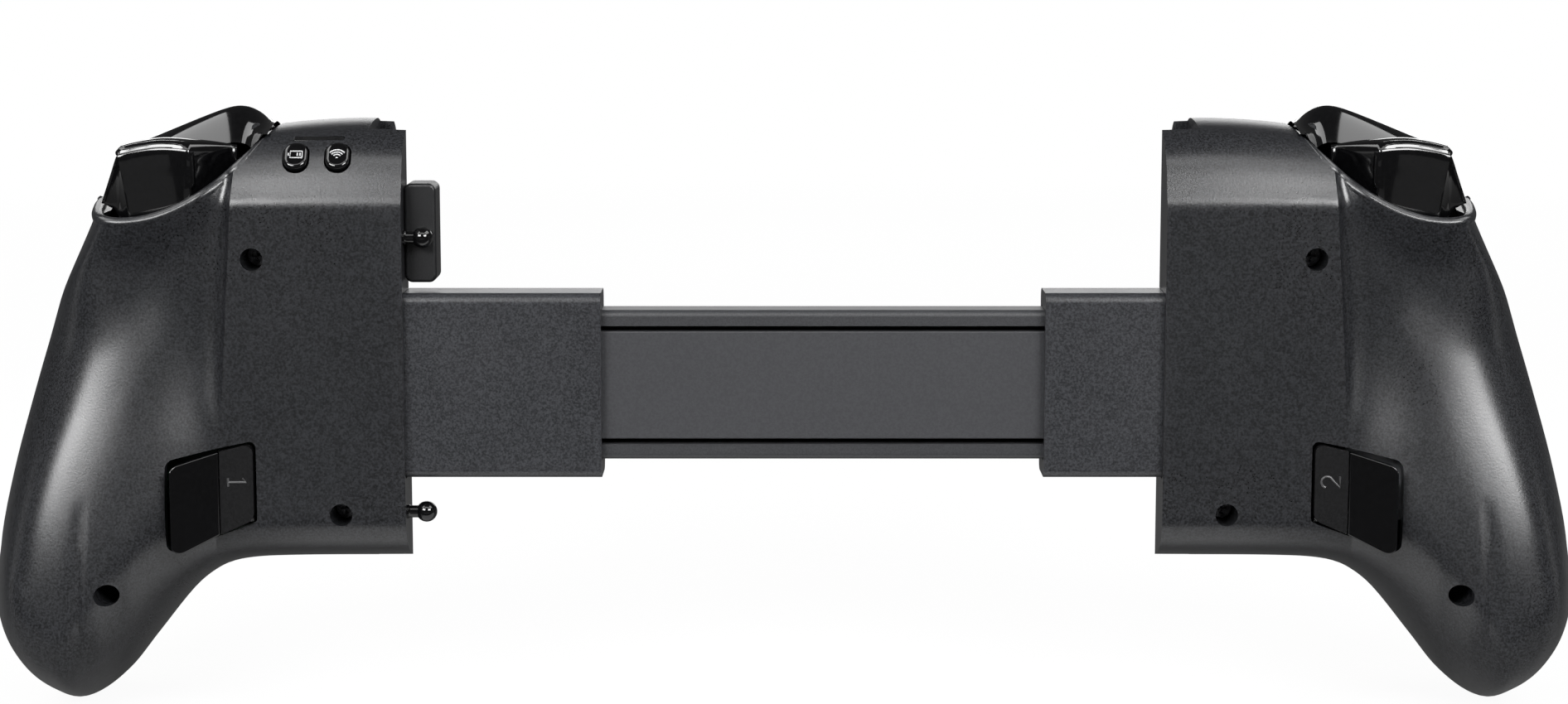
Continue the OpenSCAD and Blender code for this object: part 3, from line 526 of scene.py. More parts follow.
def rear_shell(side, body, node):
    s, z = creased_lines(-JAW_REACH, GRIP_END, 26, 72, 58, 34)
    shell = loft(node + "_skin", skin_rings(s, PARTING - rear_depth(s, z), z), side)

    nose = [(a, mix(nose_back(a), NOSE_FRONT, 0.1) - 0.3) for a in (25, 32, 43.4, 45.8, 50)]
    nose_room = prism("well", nose + [(50, 13), (25, 13)], "z", RIM_Z - 6, RIM_Z + 22, side)
    room = [(-MACRO_GAP, MACRO_GAP), (MACRO_SWING, MACRO_GAP),
            (MACRO_SWING, -MACRO_GAP), (-MACRO_GAP, -MACRO_GAP)]
    opening = [(a + da, b + db) for (a, b), (da, db) in zip(MACRO_OUTLINE, room)]
    macro_room = prism("macro", rounded_corners(opening, [1.2, 1.8, 1.8, 1.2]), "y", -40, -9, side)
    before = -JAW_REACH - 1
    slot = box_cut((before, -3, -80), (0, PARTING + 1, 80), side)
    sleeve_root = box_cut((before, -12.1, -17.4), (4.8, -0.7, 17.4), side)
    rail_end = box_cut((3, -10.9, -14.8), (25.6, 2, 14.8), side)
    cuts = [hollow(rear_room, -1, (14, 24), (16, 12), side), macro_room, slot, sleeve_root, rail_end,
            trigger_bay(side), nose_room]
    if side < 0:
        wide, high, radius = KEY_SIZE
        key_opening = (wide + 2 * KEY_GAP, high + 2 * KEY_GAP, radius + KEY_GAP)
        cuts += [shoulder_prism("key", a, key_opening, -6, 6, KEY_UP) for a in KEY_S.values()]
        cuts.append(shoulder_prism("bar", LIGHT_S, LIGHT_OPENING, -4, 4, LIGHT_UP))
        cuts += [rod("post", (before, POST_Y, h), (-JAW_REACH + 3, POST_Y, h), 1.35, side) for h in POST_Z]
        charging_port = box_cut((8.3, 2.3, -40), (17.7, 5.9, -25), side)
        cuts.append(charging_port)

    tubes = [screw_tube(a, b, side) for a, b in SCREWS]
    lip_s = np.concatenate([np.linspace(19.5, 50, 60), np.linspace(50.4, 53.2, 10)])
    thick = RIM_LIP * np.clip(np.minimum(lip_share(lip_s), (53.8 - lip_s) / 1.5), 0.12, 1)
    lip_z = rim_height(lip_s) - thick
    lip = [(a, PARTING - rear_depth(a, h) + r, h) for a, h, r in zip(lip_s, lip_z, thick)]
    carved(shell, cuts, [*tubes, swept("lip", lip, thick, side)])
    holes = [peg("seat", at, FAR_BACK, SCREW_SEAT, SEAT_R, side) for at in SCREWS]
    holes += [peg("bore", at, FAR_BACK, 5, SCREW_BORE, side) for at in SCREWS]
    carved(shell, holes)
    return fitted(shell, grained_plastic, body, "shell", node)


rear_shell(1, "left_half", "left_rear_shell")
rear_shell(-1, "right_half", "right_rear_shell")

# Front shells: the player's halves of the grips, from the same charcoal plastic, with the openings of
# the controls. A raised collar rings each stick well, and the inner edge forms the lip of the slot.
# The bosses that take the screws stand inside, and the post at the top carries the bumper.
POD_FRONT = 9.0
LIP_REACH = 2.6
FACE = PARTING + POD_FRONT
STICK_AT = {1: (35, 17), -1: (16.9, -12)}
DPAD_AT = (16.9, -12)
FACE_AT = (34.9, 18)
FACE_PITCH = 8.2
FACE_R = 4.6
SMALL_KEYS = [(8, 34), (8, 20)]
SMALL_R = 3.2
CAP_GAP = 0.3
WELL_R = 11.0
COLLAR_R = 12.6
BOSS_R = 2.8
HINGE_S = 21.5


def turned(name, at, profile, side):
    """Solid turned about a line along y through at; the profile is (radius, y)."""
    s, z = at
    rings = [[(s + r * math.cos(a), y, z + r * math.sin(a)) for a in full_turn(64)] for r, y in profile]
    return loft(name, rings, side)


def front_depth(s, z):
    """How far the player's face stands in front of the joint of the two shells."""
    edge = mix(5, 11, ramp(30, 50, s))
    upper = round_in((outline(CREST, s) - z) / steepness(CREST, s), edge)
    lower = round_in((z - outline(BELLY, s)) / steepness(BELLY, s), edge)
    return (POD_FRONT - 4 * ramp(22, 60, -z)) * upper * lower


def cross_corners(reach, half):
    """Corners of a cross about the origin."""
    return [(reach, -half), (reach, half), (half, half), (half, reach), (-half, reach), (-half, half),
            (-reach, half), (-reach, -half), (-half, -half), (-half, -reach), (half, -reach), (half, -half)]


def face_place(angle):
    """Centre of the face button at an angle round the group."""
    return FACE_AT[0] + FACE_PITCH * math.cos(angle), FACE_AT[1] + FACE_PITCH * math.sin(angle)


def well(at, radius, side, mouth=(-0.25, 0.1), flare=0.4):
    """Cutter of a round opening in the face, with a chamfered mouth."""
    return turned("well", at, [(radius, 5), (radius, FACE + mouth[0]), (radius + flare, FACE + mouth[1]),
                               (radius + flare, 30)], side)


def front_shell(side, body, node):
    s = lines_along(-LIP_REACH, GRIP_END, 20, 52)[:, None]
    z = heights(outline(BELLY, s[:, 0]), outline(CREST, s[:, 0]), 44, 24).T
    shell = loft(node + "_skin", skin_rings(s, PARTING + front_depth(s, z), z)[:, ::-1], side)
    room = hollow(front_depth, 1, (10, 18), (12, 8), side)
    bosses = [peg("boss", at, 2.5, PARTING + front_depth(*at) - SHELL_WALL + 0.8, BOSS_R, side)
              for at in SCREWS]
    stick = STICK_AT[side]
    collar = turned("collar", stick, [(COLLAR_R, FACE - 1.5), (COLLAR_R, FACE + 0.3),
                                      (COLLAR_R - 0.25, FACE + 0.6), (COLLAR_R - 0.6, FACE + 0.7)], side)
    slot = box_cut((-JAW_REACH, 0, -80), (0, 13, 80), side)
    carved(shell, [room, slot, trigger_bay(side)], [*bosses, collar])
    holes = [peg("bore", at, 0, 10, 1.15, side) for at in SCREWS]
    holes.append(well(stick, WELL_R, side, (0.2, 0.8), 0.5))
    holes += [well(key, SMALL_R + CAP_GAP, side) for key in SMALL_KEYS]
    if side < 0:
        holes += [well(face_place(a), FACE_R + CAP_GAP, side) for a in np.arange(4) * math.pi / 2]
    else:
        cross = rounded_corners(cross_corners(11.8, 4.5), 0.6, 4)
        holes.append(prism("cross", [(DPAD_AT[0] + a, DPAD_AT[1] + b) for a, b in cross], "y", 5, 30, side))
    post = peg("post", (HINGE_S, 47), 0.5, 13.5, 1.0, side)
    carved(shell, holes, [post])
    return fitted(shell, grained_plastic, body, "shell", node)


front_shell(1, "left_half", "left_front_shell")
front_shell(-1, "right_half", "right_front_shell")

# Rail: a moulded channel open to the back, fixed in the left grip, on which the right grip slides.
# Its two lips guide the sleeve, and a smoother cover plate snaps between them over spring and ribbon.
RAIL_X = (-70.9, 91.1)
RAIL_Y = (-10.4, -2.4)
RAIL_HEIGHT = 28.0
RAIL_LIP = 2.9
RAIL_WALL = 2.0
RAIL_SCREWS = [(9.5, 0.6), (9.5, 8.2)]
COVER_GAP = 1.0
COVER_LENGTH = 145
COVER_MIDDLE = 2.1

rail_plastic = finish_of("satin_rail_plastic", (0.020, 0.0205, 0.0225), (0.035, 0.036, 0.039),
                         0.42, 0.06, 3000.0, 0.012)
cover_plastic = finish_of("smooth_cover_plastic", (0.024, 0.0245, 0.0275), (0.034, 0.035, 0.0385),
                          0.5, 0.06, 2600.0, 0.014)


def bar(name, ring, start, end, side=0, count=1):
    """Outline (y, z) drawn out along the bridge."""
    return loft(name, [[(x, y, z) for y, z in ring] for x in np.linspace(start, end, count + 1)], side)


def softened(piece, width, segments=3, angle=40):
    """The piece with its sharp edges rounded."""
    edge = piece.modifiers.new("edges", "BEVEL")
    edge.width = width * 0.001
    edge.segments = segments
    edge.limit_method = "ANGLE"
    edge.angle_limit = math.radians(angle)
    edge.use_clamp_overlap = True
    return applied(piece)


rail_middle = (RAIL_Y[0] + RAIL_Y[1]) / 2
rail_ring = [(rail_middle + y, z) for y, z in pill_ring(RAIL_Y[1] - RAIL_Y[0], RAIL_HEIGHT, 1.2)]
rail = bar("rail", rail_ring, *RAIL_X)
channel = RAIL_HEIGHT / 2 - RAIL_LIP
rail_floor = RAIL_Y[1] - 1.5
carved(rail, [box_cut((-75, RAIL_Y[0] - 2, -channel), (95, RAIL_Y[1] - RAIL_WALL, channel))]
       + [peg("hole", (SLOT_END + s, z), -20, 5, SCREW_BORE) for s, z in RAIL_SCREWS],
       [peg("post", (x, 0), RAIL_Y[0] + 2.3, rail_floor, 2) for x in (-48, 0, 48)]
       + [peg("hook", (45, 6.5), RAIL_Y[0] + 2.6, rail_floor, 1)])
fitted(softened(rail, 0.22), rail_plastic, "left_half", "shell", "rail_frame")

cover_high = RAIL_HEIGHT - 2 * (RAIL_LIP + COVER_GAP)
cover_ring = [(COVER_MIDDLE + x, z) for x, z in pill_ring(COVER_LENGTH, cover_high, 1.5)]
cover = prism("cover", cover_ring, "y", RAIL_Y[0] + 0.2, RAIL_Y[0] + 2.2)
fitted(softened(cover, 0.25), cover_plastic, "left_half", "cover", "rail_cover")

# Sleeves: short rounded tubes moulded in the grained plastic, flanged inside their pods.
# The long right one slides on the rail, and the short left one is a collar round its root.
SLEEVE_HEIGHT = 34.6
SLEEVE_Y = (-12.0, -0.8)
SLIDE_GAP = 0.2
SLEEVE_LENGTH = {1: 22.0, -1: 36.4}

sleeve_plastic = finish_of("grained_sleeve_plastic", (0.009, 0.0093, 0.0105), (0.038, 0.0395, 0.044),
                           0.34, 0.14, 2800.0, 0.035)


def sleeve(side, body, node):
    middle = sum(SLEEVE_Y) / 2
    front = SLEEVE_Y[1]
    ring = [(middle + y, z) for y, z in pill_ring(front - SLEEVE_Y[0], SLEEVE_HEIGHT, 1.8)]
    tube = bar(node + "_tube", ring, -JAW_REACH - SLEEVE_LENGTH[side], 4.6, side)
    inside = RAIL_HEIGHT / 2 + SLIDE_GAP
    outside = SLEEVE_HEIGHT / 2 + 2
    carved(tube, [], [box_cut((2.5, front - 8.6, -outside), (4.0, front - 2, outside), side)])
    carved(tube, [box_cut((-60, RAIL_Y[0] - SLIDE_GAP, -inside), (10, RAIL_Y[1] + SLIDE_GAP, inside), side)])
    return fitted(softened(tube, 0.4), sleeve_plastic, body, "shell", node)


sleeve(1, "left_half", "left_sleeve")
sleeve(-1, "right_half", "right_sleeve")

# Return spring and ribbon: a long tension spring of thin steel wire pulls the grips together,
# and a flat copper-on-film ribbon carries the signals between the two boards through the rail.
SPRING_X = (-58.0, 42.5)
SPRING_AT = (-6.3, 6.5)
SPRING_TURNS = 72

spring_steel = finish_of("drawn_spring_steel", (0.42, 0.42, 0.43), (0.56, 0.56, 0.57),
                         0.3, 0.08, 900.0, 0.004, Metallic=1.0)
ribbon_film = finish_of("amber_ribbon_film", (0.24, 0.10, 0.02), (0.33, 0.15, 0.035),
                        0.35, 0.08, 700.0, 0.004)


def node_tree(name, sizes):
    """Geometry tree with named number inputs: the tree, a wire to build with and the inputs as wires."""
    tree = bpy.data.node_groups.new(name, "GeometryNodeTree")
    for way in ("INPUT", "OUTPUT"):
        tree.interface.new_socket("Geometry", in_out=way, socket_type="NodeSocketGeometry")
    for size in sizes:
        tree.interface.new_socket(size, in_out="INPUT", socket_type="NodeSocketFloat")
    start = tree.nodes.new("NodeGroupInput")
    return tree, Wire(tree), {s.name: Wire(tree, s) for s in start.outputs if s.name}


def tree_end(make, geometry, material):
    """Last nodes of a geometry tree: real faces in one material."""
    plain = make.node("GeometryNodeRealizeInstances", {"Geometry": geometry})
    covered = make.node("GeometryNodeSetMaterial", {"Geometry": plain, "Material": material})
    make.node("NodeGroupOutput", {"Geometry": covered})


def grown(name, tree, sizes, points):
    """Plain mesh of a geometry tree run on these points (metres), with its sizes set."""
    mesh = bpy.data.meshes.new(name)
    mesh.from_pydata([tuple(p) for p in points], [], [])
    piece = bpy.data.objects.new(name, mesh)
    bpy.context.scene.collection.objects.link(piece)
    step = piece.modifiers.new("tree", "NODES")
    step.node_group = tree
    sockets = {s.name: s.identifier for s in tree.interface.items_tree if s.in_out == "INPUT"}
    for size, value in sizes.items():
        step[sockets[size]] = float(value)
    return applied(piece)


coil_sizes = {"Length": 0.1005, "Radius": 0.00135, "Wire": 0.00025, "Turns": SPRING_TURNS}
coil, make, size = node_tree("coil_spring", coil_sizes)
line = make.node("GeometryNodeCurveSpiral",
                 {"Resolution": 14, "Rotations": size["Turns"], "Start Radius": size["Radius"],
                  "End Radius": size["Radius"], "Height": size["Length"]})
wire_ring = make.node("GeometryNodeCurvePrimitiveCircle", {"Resolution": 7, "Radius": size["Wire"]})
wound = make.node("GeometryNodeCurveToMesh", {"Curve": line, "Profile Curve": wire_ring, "Fill Caps": True})
spring_start = (SPRING_X[0] * 0.001, SPRING_AT[0] * 0.001, SPRING_AT[1] * 0.001)
laid = make.node("GeometryNodeTransform",
                 {"Geometry": wound, "Rotation": (0, math.pi / 2, 0), "Translation": spring_start})
tree_end(make, laid, spring_steel)
spring = grown("return_spring_coil", coil, coil_sizes, [(0, 0, 0)])
spring.data.shade_smooth()
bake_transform(spring)
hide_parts("return_spring")

RIBBON_Y = (-5.6, -5.2)
RIBBON_Z = (-9.5, -2.5)
RIBBON_X = (-SLOT_END - 36, SLOT_END + 24)
ribbon_ring = [(RIBBON_Y[0], RIBBON_Z[0]), (RIBBON_Y[1], RIBBON_Z[0]),
               (RIBBON_Y[1], RIBBON_Z[1]), (RIBBON_Y[0], RIBBON_Z[1])]
ribbon = bar("ribbon", ribbon_ring, *RIBBON_X, 0, 80)
ends = [box_cut((x, RIBBON_Y[0], RIBBON_Z[0]), (x + 0.4, 0.7, RIBBON_Z[1]))
        for x in (RIBBON_X[0], SLOT_END + 23.6)]
carved(ribbon, [], ends)
ribbon.data.materials.append(ribbon_film)
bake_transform(ribbon)
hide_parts("flex_cable")

# Pads: soft black elastomer, glued in. Ribbed strips lie on the sleeves, and angled liners
# in the two slots cushion what the grips clamp.
STRIP_RIB = 0.25
LINER_RIB = 0.3
pad_rubber = finish_of("soft_pad_rubber", (0.012, 0.012, 0.0125), (0.022, 0.022, 0.023),
                       0.72, 0.1, 1800.0, 0.02)


def rest_pad(side, body, node):
    length = SLEEVE_LENGTH[side]
    ring = [(-JAW_REACH - length / 2 + 0.6 + a, b) for a, b in pill_ring(length - 3, SLEEVE_HEIGHT - 6, 2)]
    pad = prism(node + "_strip", ring, "y", SLEEVE_Y[1], 0, side)
    grooves = [box_cut((-JAW_REACH - length, -STRIP_RIB, z - 0.3), (-JAW_REACH + 1, 1, z + 0.3), side)
               for z in np.arange(-12, 12.1, 2.0)]
    carved(pad, grooves)
    return fitted(softened(pad, 0.1, 2), pad_rubber, body, "rubber", node)


def slot_pad(side, body, node):
    low, high, thick = -26, 44, 0.6
    pad = box_cut((-JAW_REACH + thick, -3, low), (-thick, 0, high), side)
    carved(pad, [], [box_cut((-thick, -3, low), (0, 12, high), side)])
    grooves = [box_cut((-JAW_REACH, -LINER_RIB, z - 0.35), (-0.9, 1, z + 0.35), side)
               for z in (*np.arange(20, 43, 2.2), -20, -22.2, -24.4)]
    carved(pad, [box_cut((-20, -4, -17.9), (1, -0.4, 17.9), side), *grooves])
    return fitted(softened(pad, 0.1, 2), pad_rubber, body, "rubber", node)


rest_pad(1, "left_half", "left_rest_pad")
rest_pad(-1, "right_half", "right_rest_pad")
slot_pad(1, "left_half", "left_slot_pad")
slot_pad(-1, "right_half", "right_slot_pad")

# Screws: black-zinc plated self-tapping screws with cross-recessed heads, deep in the counterbores
# of the shells. Two more on the left, driven from the player's side, hold the root of the rail.
HEAD_HEIGHT = 0.0016
screw_steel = finish_of("black_zinc_steel", (0.03, 0.03, 0.032), (0.09, 0.09, 0.095),
                        0.35, 0.12, 1500.0, 0.006, Metallic=0.85)
screw_sizes = {"Head": 0.0019, "Shank": 0.0011, "Length": 0.0125}
screw, make, size = node_tree("cross_screw", screw_sizes)
head = make.node("GeometryNodeMeshCylinder", {"Vertices": 32, "Radius": size["Head"], "Depth": HEAD_HEIGHT})
recess = []
for wide, tall in ((1.2, 0.3), (0.3, 1.2)):
    arm = make.node("ShaderNodeCombineXYZ",
                    {"X": size["Head"] * wide, "Y": size["Head"] * tall, "Z": HEAD_HEIGHT})
    bit = make.node("GeometryNodeMeshCube", {"Size": arm})
    raised = {"Geometry": bit, "Translation": (0, 0, HEAD_HEIGHT / 2)}
    recess.append(make.node("GeometryNodeTransform", raised))
cut = make.node("GeometryNodeMeshBoolean", {"Mesh 1": head, "Mesh 2": recess}, {"operation": "DIFFERENCE"})
shank = make.node("GeometryNodeMeshCylinder",
                  {"Vertices": 20, "Radius": size["Shank"], "Depth": size["Length"]})
below = make.node("ShaderNodeCombineXYZ", {"Z": size["Length"] * -0.5 - HEAD_HEIGHT / 4})
lowered = make.node("GeometryNodeTransform", {"Geometry": shank, "Translation": below})
whole = make.node("GeometryNodeJoinGeometry", {"Geometry": [cut, lowered]})
turned_back = make.node("GeometryNodeTransform", {"Geometry": whole, "Rotation": (math.pi / 2, 0, 0)})
set_in = make.node("GeometryNodeInstanceOnPoints", {"Points": size["Geometry"], "Instance": turned_back})
tree_end(make, set_in, screw_steel)


def joined(name, pieces):
    """One object of several."""
    work = bmesh.new()
    for piece in pieces:
        work.from_mesh(piece.data)
        bpy.data.objects.remove(piece)
    mesh = bpy.data.meshes.new(name)
    work.to_mesh(mesh)
    work.free()
    made = bpy.data.objects.new(name, mesh)
    bpy.context.scene.collection.objects.link(made)
    return made


for grip, side in (("left", 1), ("right", -1)):
    seats = to_metres([(s, SCREW_SEAT - 0.8, z) for s, z in SCREWS], side)
    screws = grown(grip + "_screw_set", screw, screw_sizes, seats)
    if side > 0:
        seats = to_metres([(s, -1.6, z) for s, z in RAIL_SCREWS], side) * (-1, -1, 1)
        facing = grown("rail_screw_set", screw, {**screw_sizes, "Length": 0.0066}, seats)
        for v in facing.data.vertices:
            v.co = (-v.co.x, -v.co.y, v.co.z)
        screws = joined(grip + "_screws_all", [screws, facing])
    fitted(screws, screw_steel, grip + "_half", "steel", grip + "_screws")

# Triggers: glossy black caps with a hollowed finger face, moulded hollow and slotted for their bearing
# cheeks. Each turns on a steel pin in a bracket on the front shell, and a torsion spring brings it back.
PIVOT = (-4.0, 40.0)
END_LEAN = [(40, 0), (43.4, 0.134), (45.8, -0.067), (49.6, -0.33), (51, -0.36)]
TRIGGER_PIN_R = 1.2

gloss_black = finish_of("polished_black_plastic", (0.0012, 0.0012, 0.0014), (0.0022, 0.0022, 0.0025),
                        0.09, 0.03, 1200.0, 0.0006, **{"Coat Weight": 0.25, "Coat Roughness": 0.04})


def smooth_ring(points, count):
    """Closed smooth curve through points."""
    p = np.array(points, float)
    before, after, beyond = np.roll(p, 1, 0), np.roll(p, -1, 0), np.roll(p, -2, 0)
    made = []
    for i in range(len(p)):
        for t in np.arange(count) / count:
            made.append(0.5 * (2 * p[i] + (after[i] - before[i]) * t
                               + (2 * before[i] - 5 * p[i] + 4 * after[i] - beyond[i]) * t**2
                               + (3 * p[i] - before[i] - 3 * after[i] + beyond[i]) * t**3))
    return np.array(made)


def rounded_ends(ring_at, start, end, radius, stations, steps=6):
    """Rings along s with both ends turned in by a quarter round."""
    rings = []
    turns = np.linspace(0, math.pi / 2, steps)
    places = [(start, t) for t in turns[:-1]]
    places += [(s, None) for s in stations]
    places += [(end, t) for t in turns[::-1][1:]]
    for s, turn in places:
        if turn is None:
            rings.append([(s, y, z) for y, z in ring_at(s)])
            continue
        inwards = 1 if s == start else -1
        place = s + inwards * radius * (1 - math.sin(turn))
        ring = np.array(ring_at(s + inwards * radius))
        middle = ring.mean(0)
        reach = np.linalg.norm(ring - middle, axis=1, keepdims=True)
        inset = radius * (1 - math.cos(math.pi / 2 - turn))
        ring = middle + (ring - middle) * np.maximum(0.2, 1 - inset / reach)
        rings.append([(place, y, z) for y, z in ring])
    return rings


def nose_edge(s, top):
    """Back and top of a trigger's nose: a hollow across the back, and a top that falls to both ends."""
    back = float(nose_back(s)) + 0.5 * max(0, 1 - ((s - 38) / 5) ** 2)
    return back, top - (0.032 if s > 37 else 0.012) * (min(s, 45.3) - 37) ** 2


def leaned(s, y, z):
    """Point of a trigger with the lean of its outer end."""
    return s + np.interp(s, *zip(*END_LEAN)) * (min(z, 42.7) - 31), y, z


def nose_ring(s):
    """Section of a trigger's nose."""
    b, t = nose_edge(s, 45.6)
    d = NOSE_FRONT - b
    low = float(rim_height(s)) + mix(-5, 1.2, float(ramp(42, 47.5, s)))
    h = t - low
    return smooth_ring([(NOSE_FRONT, t - 3.2), (NOSE_FRONT - 0.4, low + 0.55 * h),
                        (b + 0.52 * d, low + 0.4 * h), (b + 0.4 * d, low), (b + 0.14 * d, low),
                        (b + 0.1 * d, low + 0.3 * h), (b + 0.05 * d, low + 0.58 * h), (b, t - 2.6),
                        (b + 0.035 * d, t - 1), (b + 0.17 * d, t), (b + 0.47 * d, t + 0.25),
                        (NOSE_FRONT - 0.8, t - 0.9)], 6)


def lip_point(s, share):
    """Point just under the rear skin of a trigger, at a share of its height below the rounded top edge."""
    back, top = nose_edge(s, 44.5)
    low = float(rim_height(s)) - 5
    inset = np.interp(share, [0, 0.3, 0.6, 0.85, 1], [0.14, 0.1, 0.05, 0, 0.035])
    return leaned(s, back + (NOSE_FRONT - back) * inset + 0.95, low + (top - low) * share)


def trigger(side, node):
    stations = np.concatenate([np.linspace(25.2, 31.7, 12), [32, 32.3], np.linspace(33, 43.1, 24),
                               [43.4, 43.7, 44.6, 45.5, 45.8], np.linspace(46.1, 50.2, 10)])
    rings = rounded_ends(nose_ring, 24.6, 50.8, 0.6, stations)
    cap = loft(node + "_cap", [[leaned(*point) for point in ring] for ring in rings], side)
    over = [(s, 1.0) for s in np.linspace(44.2, 33.4, 20)] + [(32.7, 0.96), (32.3, 0.9), (32.2, 0.84)]
    edge = [lip_point(s, share) for s, share in over + [(32.2, f) for f in np.linspace(0.76, 0.42, 8)]]
    bead = swept("edge", edge, [0.3, 0.8] + [1.1] * (len(edge) - 4) + [0.8, 0.3], side)
    cheeks = [box_cut((start, -7.2, 20), (end, 4, 42.1), side) for start, end in ((29.9, 34.7), (40.9, 43))]
    carved(cap, [*cheeks, rod("bore", (29, *PIVOT), (44, *PIVOT), TRIGGER_PIN_R + 0.05, side)], [bead])
    return fitted(cap, gloss_black, node, "gloss", node, angle=50)


trigger(1, "left_trigger")
trigger(-1, "right_trigger")

# Bumpers: arched glossy black caps over the triggers, moulded in one piece with their hinge eyes.
# Each hinges at its inner end on the post of the front shell, and its outer end is the one to press.
BUMPER_S = (18.6, 47.4)
BUMPER_END = 0.8
BUMPER_TOP = 51
BUMPER_MIDDLE = 5.8


def hood_ring(s):
    """Section of a bumper's arch."""
    past = s - 25.3
    top = BUMPER_TOP - (math.hypot(0.42 * past, 1.2) - 1.2 if past > 0 else 0.085 * past**2)
    low = max(top - mix(6.5, 3, float(ramp(26, 47, s))), float(rim_height(s)) + 0.6)
    a = np.cos(np.linspace(0, math.pi, 48))
    back = 6.55 + 4.35 * float(ramp(24.2, 20, s))
    y = BUMPER_MIDDLE - np.where(a > 0, back, 6.9) * a
    return np.stack([y, low + (top - low) * (1 - np.abs(a) ** 1.6)], axis=-1)


def bumper(side, node):
    rings = rounded_ends(hood_ring, *BUMPER_S, BUMPER_END, np.linspace(19.4, 46.6, 50))
    cap = loft(node + "_cap", rings, side)
    carved(cap, [peg("bore", (HINGE_S, 46.6), 0.2, 20, 1.05, side)])
    return fitted(cap, gloss_black, node, "gloss", node, angle=60)


bumper(1, "left_bumper")
bumper(-1, "right_bumper")

# Macro buttons: bent black plates across the crease, hinged at their inner edge under the back face.
# The inner leaf is satin and carries a plain numeral, and the outer leaf is a polished raised pad.
MACRO_PIN = (22.3, -9.8)
MACRO_HUB_Z = (-24.1, -16)
NUMERAL_AT = (24.2, -17.6)
NUMERAL_R = 0.24
NUMERALS = {"1": [[(-0.7, 0.9), (0, 1.7), (0, -1.7)], [(-0.8, -1.7), (0.8, -1.7)]],
            "2": [[(1.05 * math.cos(a), 0.65 + 1.05 * math.sin(a)) for a in np.linspace(2.9, -0.6, 12)]
                  + [(-1.0, -1.7), (1.1, -1.7)]]}

grey_print = finish_of("grey_print", (0.03, 0.03, 0.031), (0.05, 0.05, 0.052), 0.4, 0.1, 3000.0, 0.002)
satin_black = finish_of("satin_black_plastic", (0.002, 0.002, 0.0023), (0.006, 0.006, 0.0066),
                        0.3, 0.06, 2200.0, 0.008)


def leaf(name, plan, corners, radius, side):
    """Part of a bent plate: a plan drawn out in height, inside an outline with rounded corners."""
    plate = prism(name, plan, "z", -40, 0, side)
    edge = prism("edge", rounded_corners(corners, radius), "y", -40, 0, side)
    step = plate.modifiers.new("outline", "BOOLEAN")
    step.operation = "INTERSECT"
    step.solver = "MANIFOLD"
    step.object = edge
    applied(plate)
    bpy.data.objects.remove(edge)
    return plate


def on_leaf(s, z):
    """Point on the back of the inner leaf."""
    return s, -13.94 - (s - 21.3) * 0.053, z


def macro_button(side, node, text):
    inner = leaf("inner", [(20, -13.9), (27.5, -14.3), (27.3, -12.3), (20, -12.1)],
                 [(21.3, -10.4), (27.45, -11.87), (27.45, -27.44), (21.3, -24.8)],
                 [1.4, 0.12, 0.12, 2.2], side)
    outer = leaf("outer", [(27.0, -14.23), (37, -22.1), (37, -19.4), (27.0, -12.2)],
                 [(27.55, -11.9), (35.5, -13.8), (35.5, -30.9), (27.55, -27.48)],
                 [0.3, 1.6, 1.6, 0.3], side)
    low, high = MACRO_HUB_Z
    hub = rod("hub", (*MACRO_PIN, low), (*MACRO_PIN, high), 1.5, side)
    arm = box_cut((21.6, -13, low), (23, MACRO_PIN[1], high), side)
    carved(hub, [], [arm])
    carved(hub, [rod("bore", (*MACRO_PIN, -30), (*MACRO_PIN, -10), 0.85, side)])
    s, z = NUMERAL_AT
    strokes = [swept("stroke", [on_leaf(s - up, z + side * across) for across, up in line],
                     [NUMERAL_R] * len(line), side, 8) for line in NUMERALS[text]]
    fitted(joined(node + "_numeral", strokes), grey_print, node, "gloss")
    inner_leaf = joined(node + "_inner_leaf", [softened(inner, 0.3), hub])
    fitted(inner_leaf, satin_black, node, "gloss", node)
    fitted(softened(outer, 0.35, 4), gloss_black, node, "gloss").name = node + "_outer_pad"


macro_button(1, "left_macro_button", "2")
macro_button(-1, "right_macro_button", "1")

# Shoulder keys and light bar: two small polished keys on the slope of the right pod, one for the battery
# and one for the radio, and a slim light window above them. Their signs are printed in pale ink.
KEY_PROUD = 0.9
INK_R = 0.13
LIGHT_SIZE = (9.4, 1.0, 0.45)
pale_ink = finish_of("pale_print", (0.42, 0.43, 0.44), (0.5, 0.5, 0.5), 0.5, 0.1, 3000.0, 0.002)
light_window = finish_of("smoked_light_window", (0.002, 0.002, 0.0022), (0.004, 0.004, 0.0043),
                         0.2, 0.04, 800.0, 0.001)


def shoulder_key(node):
    wide, high, radius = KEY_SIZE
    rings = []
    for inset, out in [(0, -5), (0, 0.3), (0.12, 0.6), (0.4, 0.82), (0.8, KEY_PROUD)]:
        ring = pill_ring(wide - 2 * inset, high - 2 * inset, radius - inset, 10)
        rings.append([on_shoulder(KEY_S[node], a, b + KEY_UP, out) for a, b in ring])
    fitted(loft(node + "_cap", rings, -1), gloss_black, node, "gloss", node, angle=50)


def printed_sign(node, lines):
    """Sign of thin raised ink lines on a shoulder key."""
    strokes = [swept("stroke", [on_shoulder(KEY_S[node], a, b + KEY_UP, KEY_PROUD) for a, b in line],
                     [INK_R] * len(line), -1, 8) for line in lines]
    fitted(joined(node + "_sign", strokes), pale_ink, node, "gloss")


def arc(radius, start, end, count=9):
    """Arc of the radio sign, between two angles."""
    angles = np.radians(np.linspace(start, end, count))
    return [(radius * math.cos(t), radius * math.sin(t) - 0.8) for t in angles]


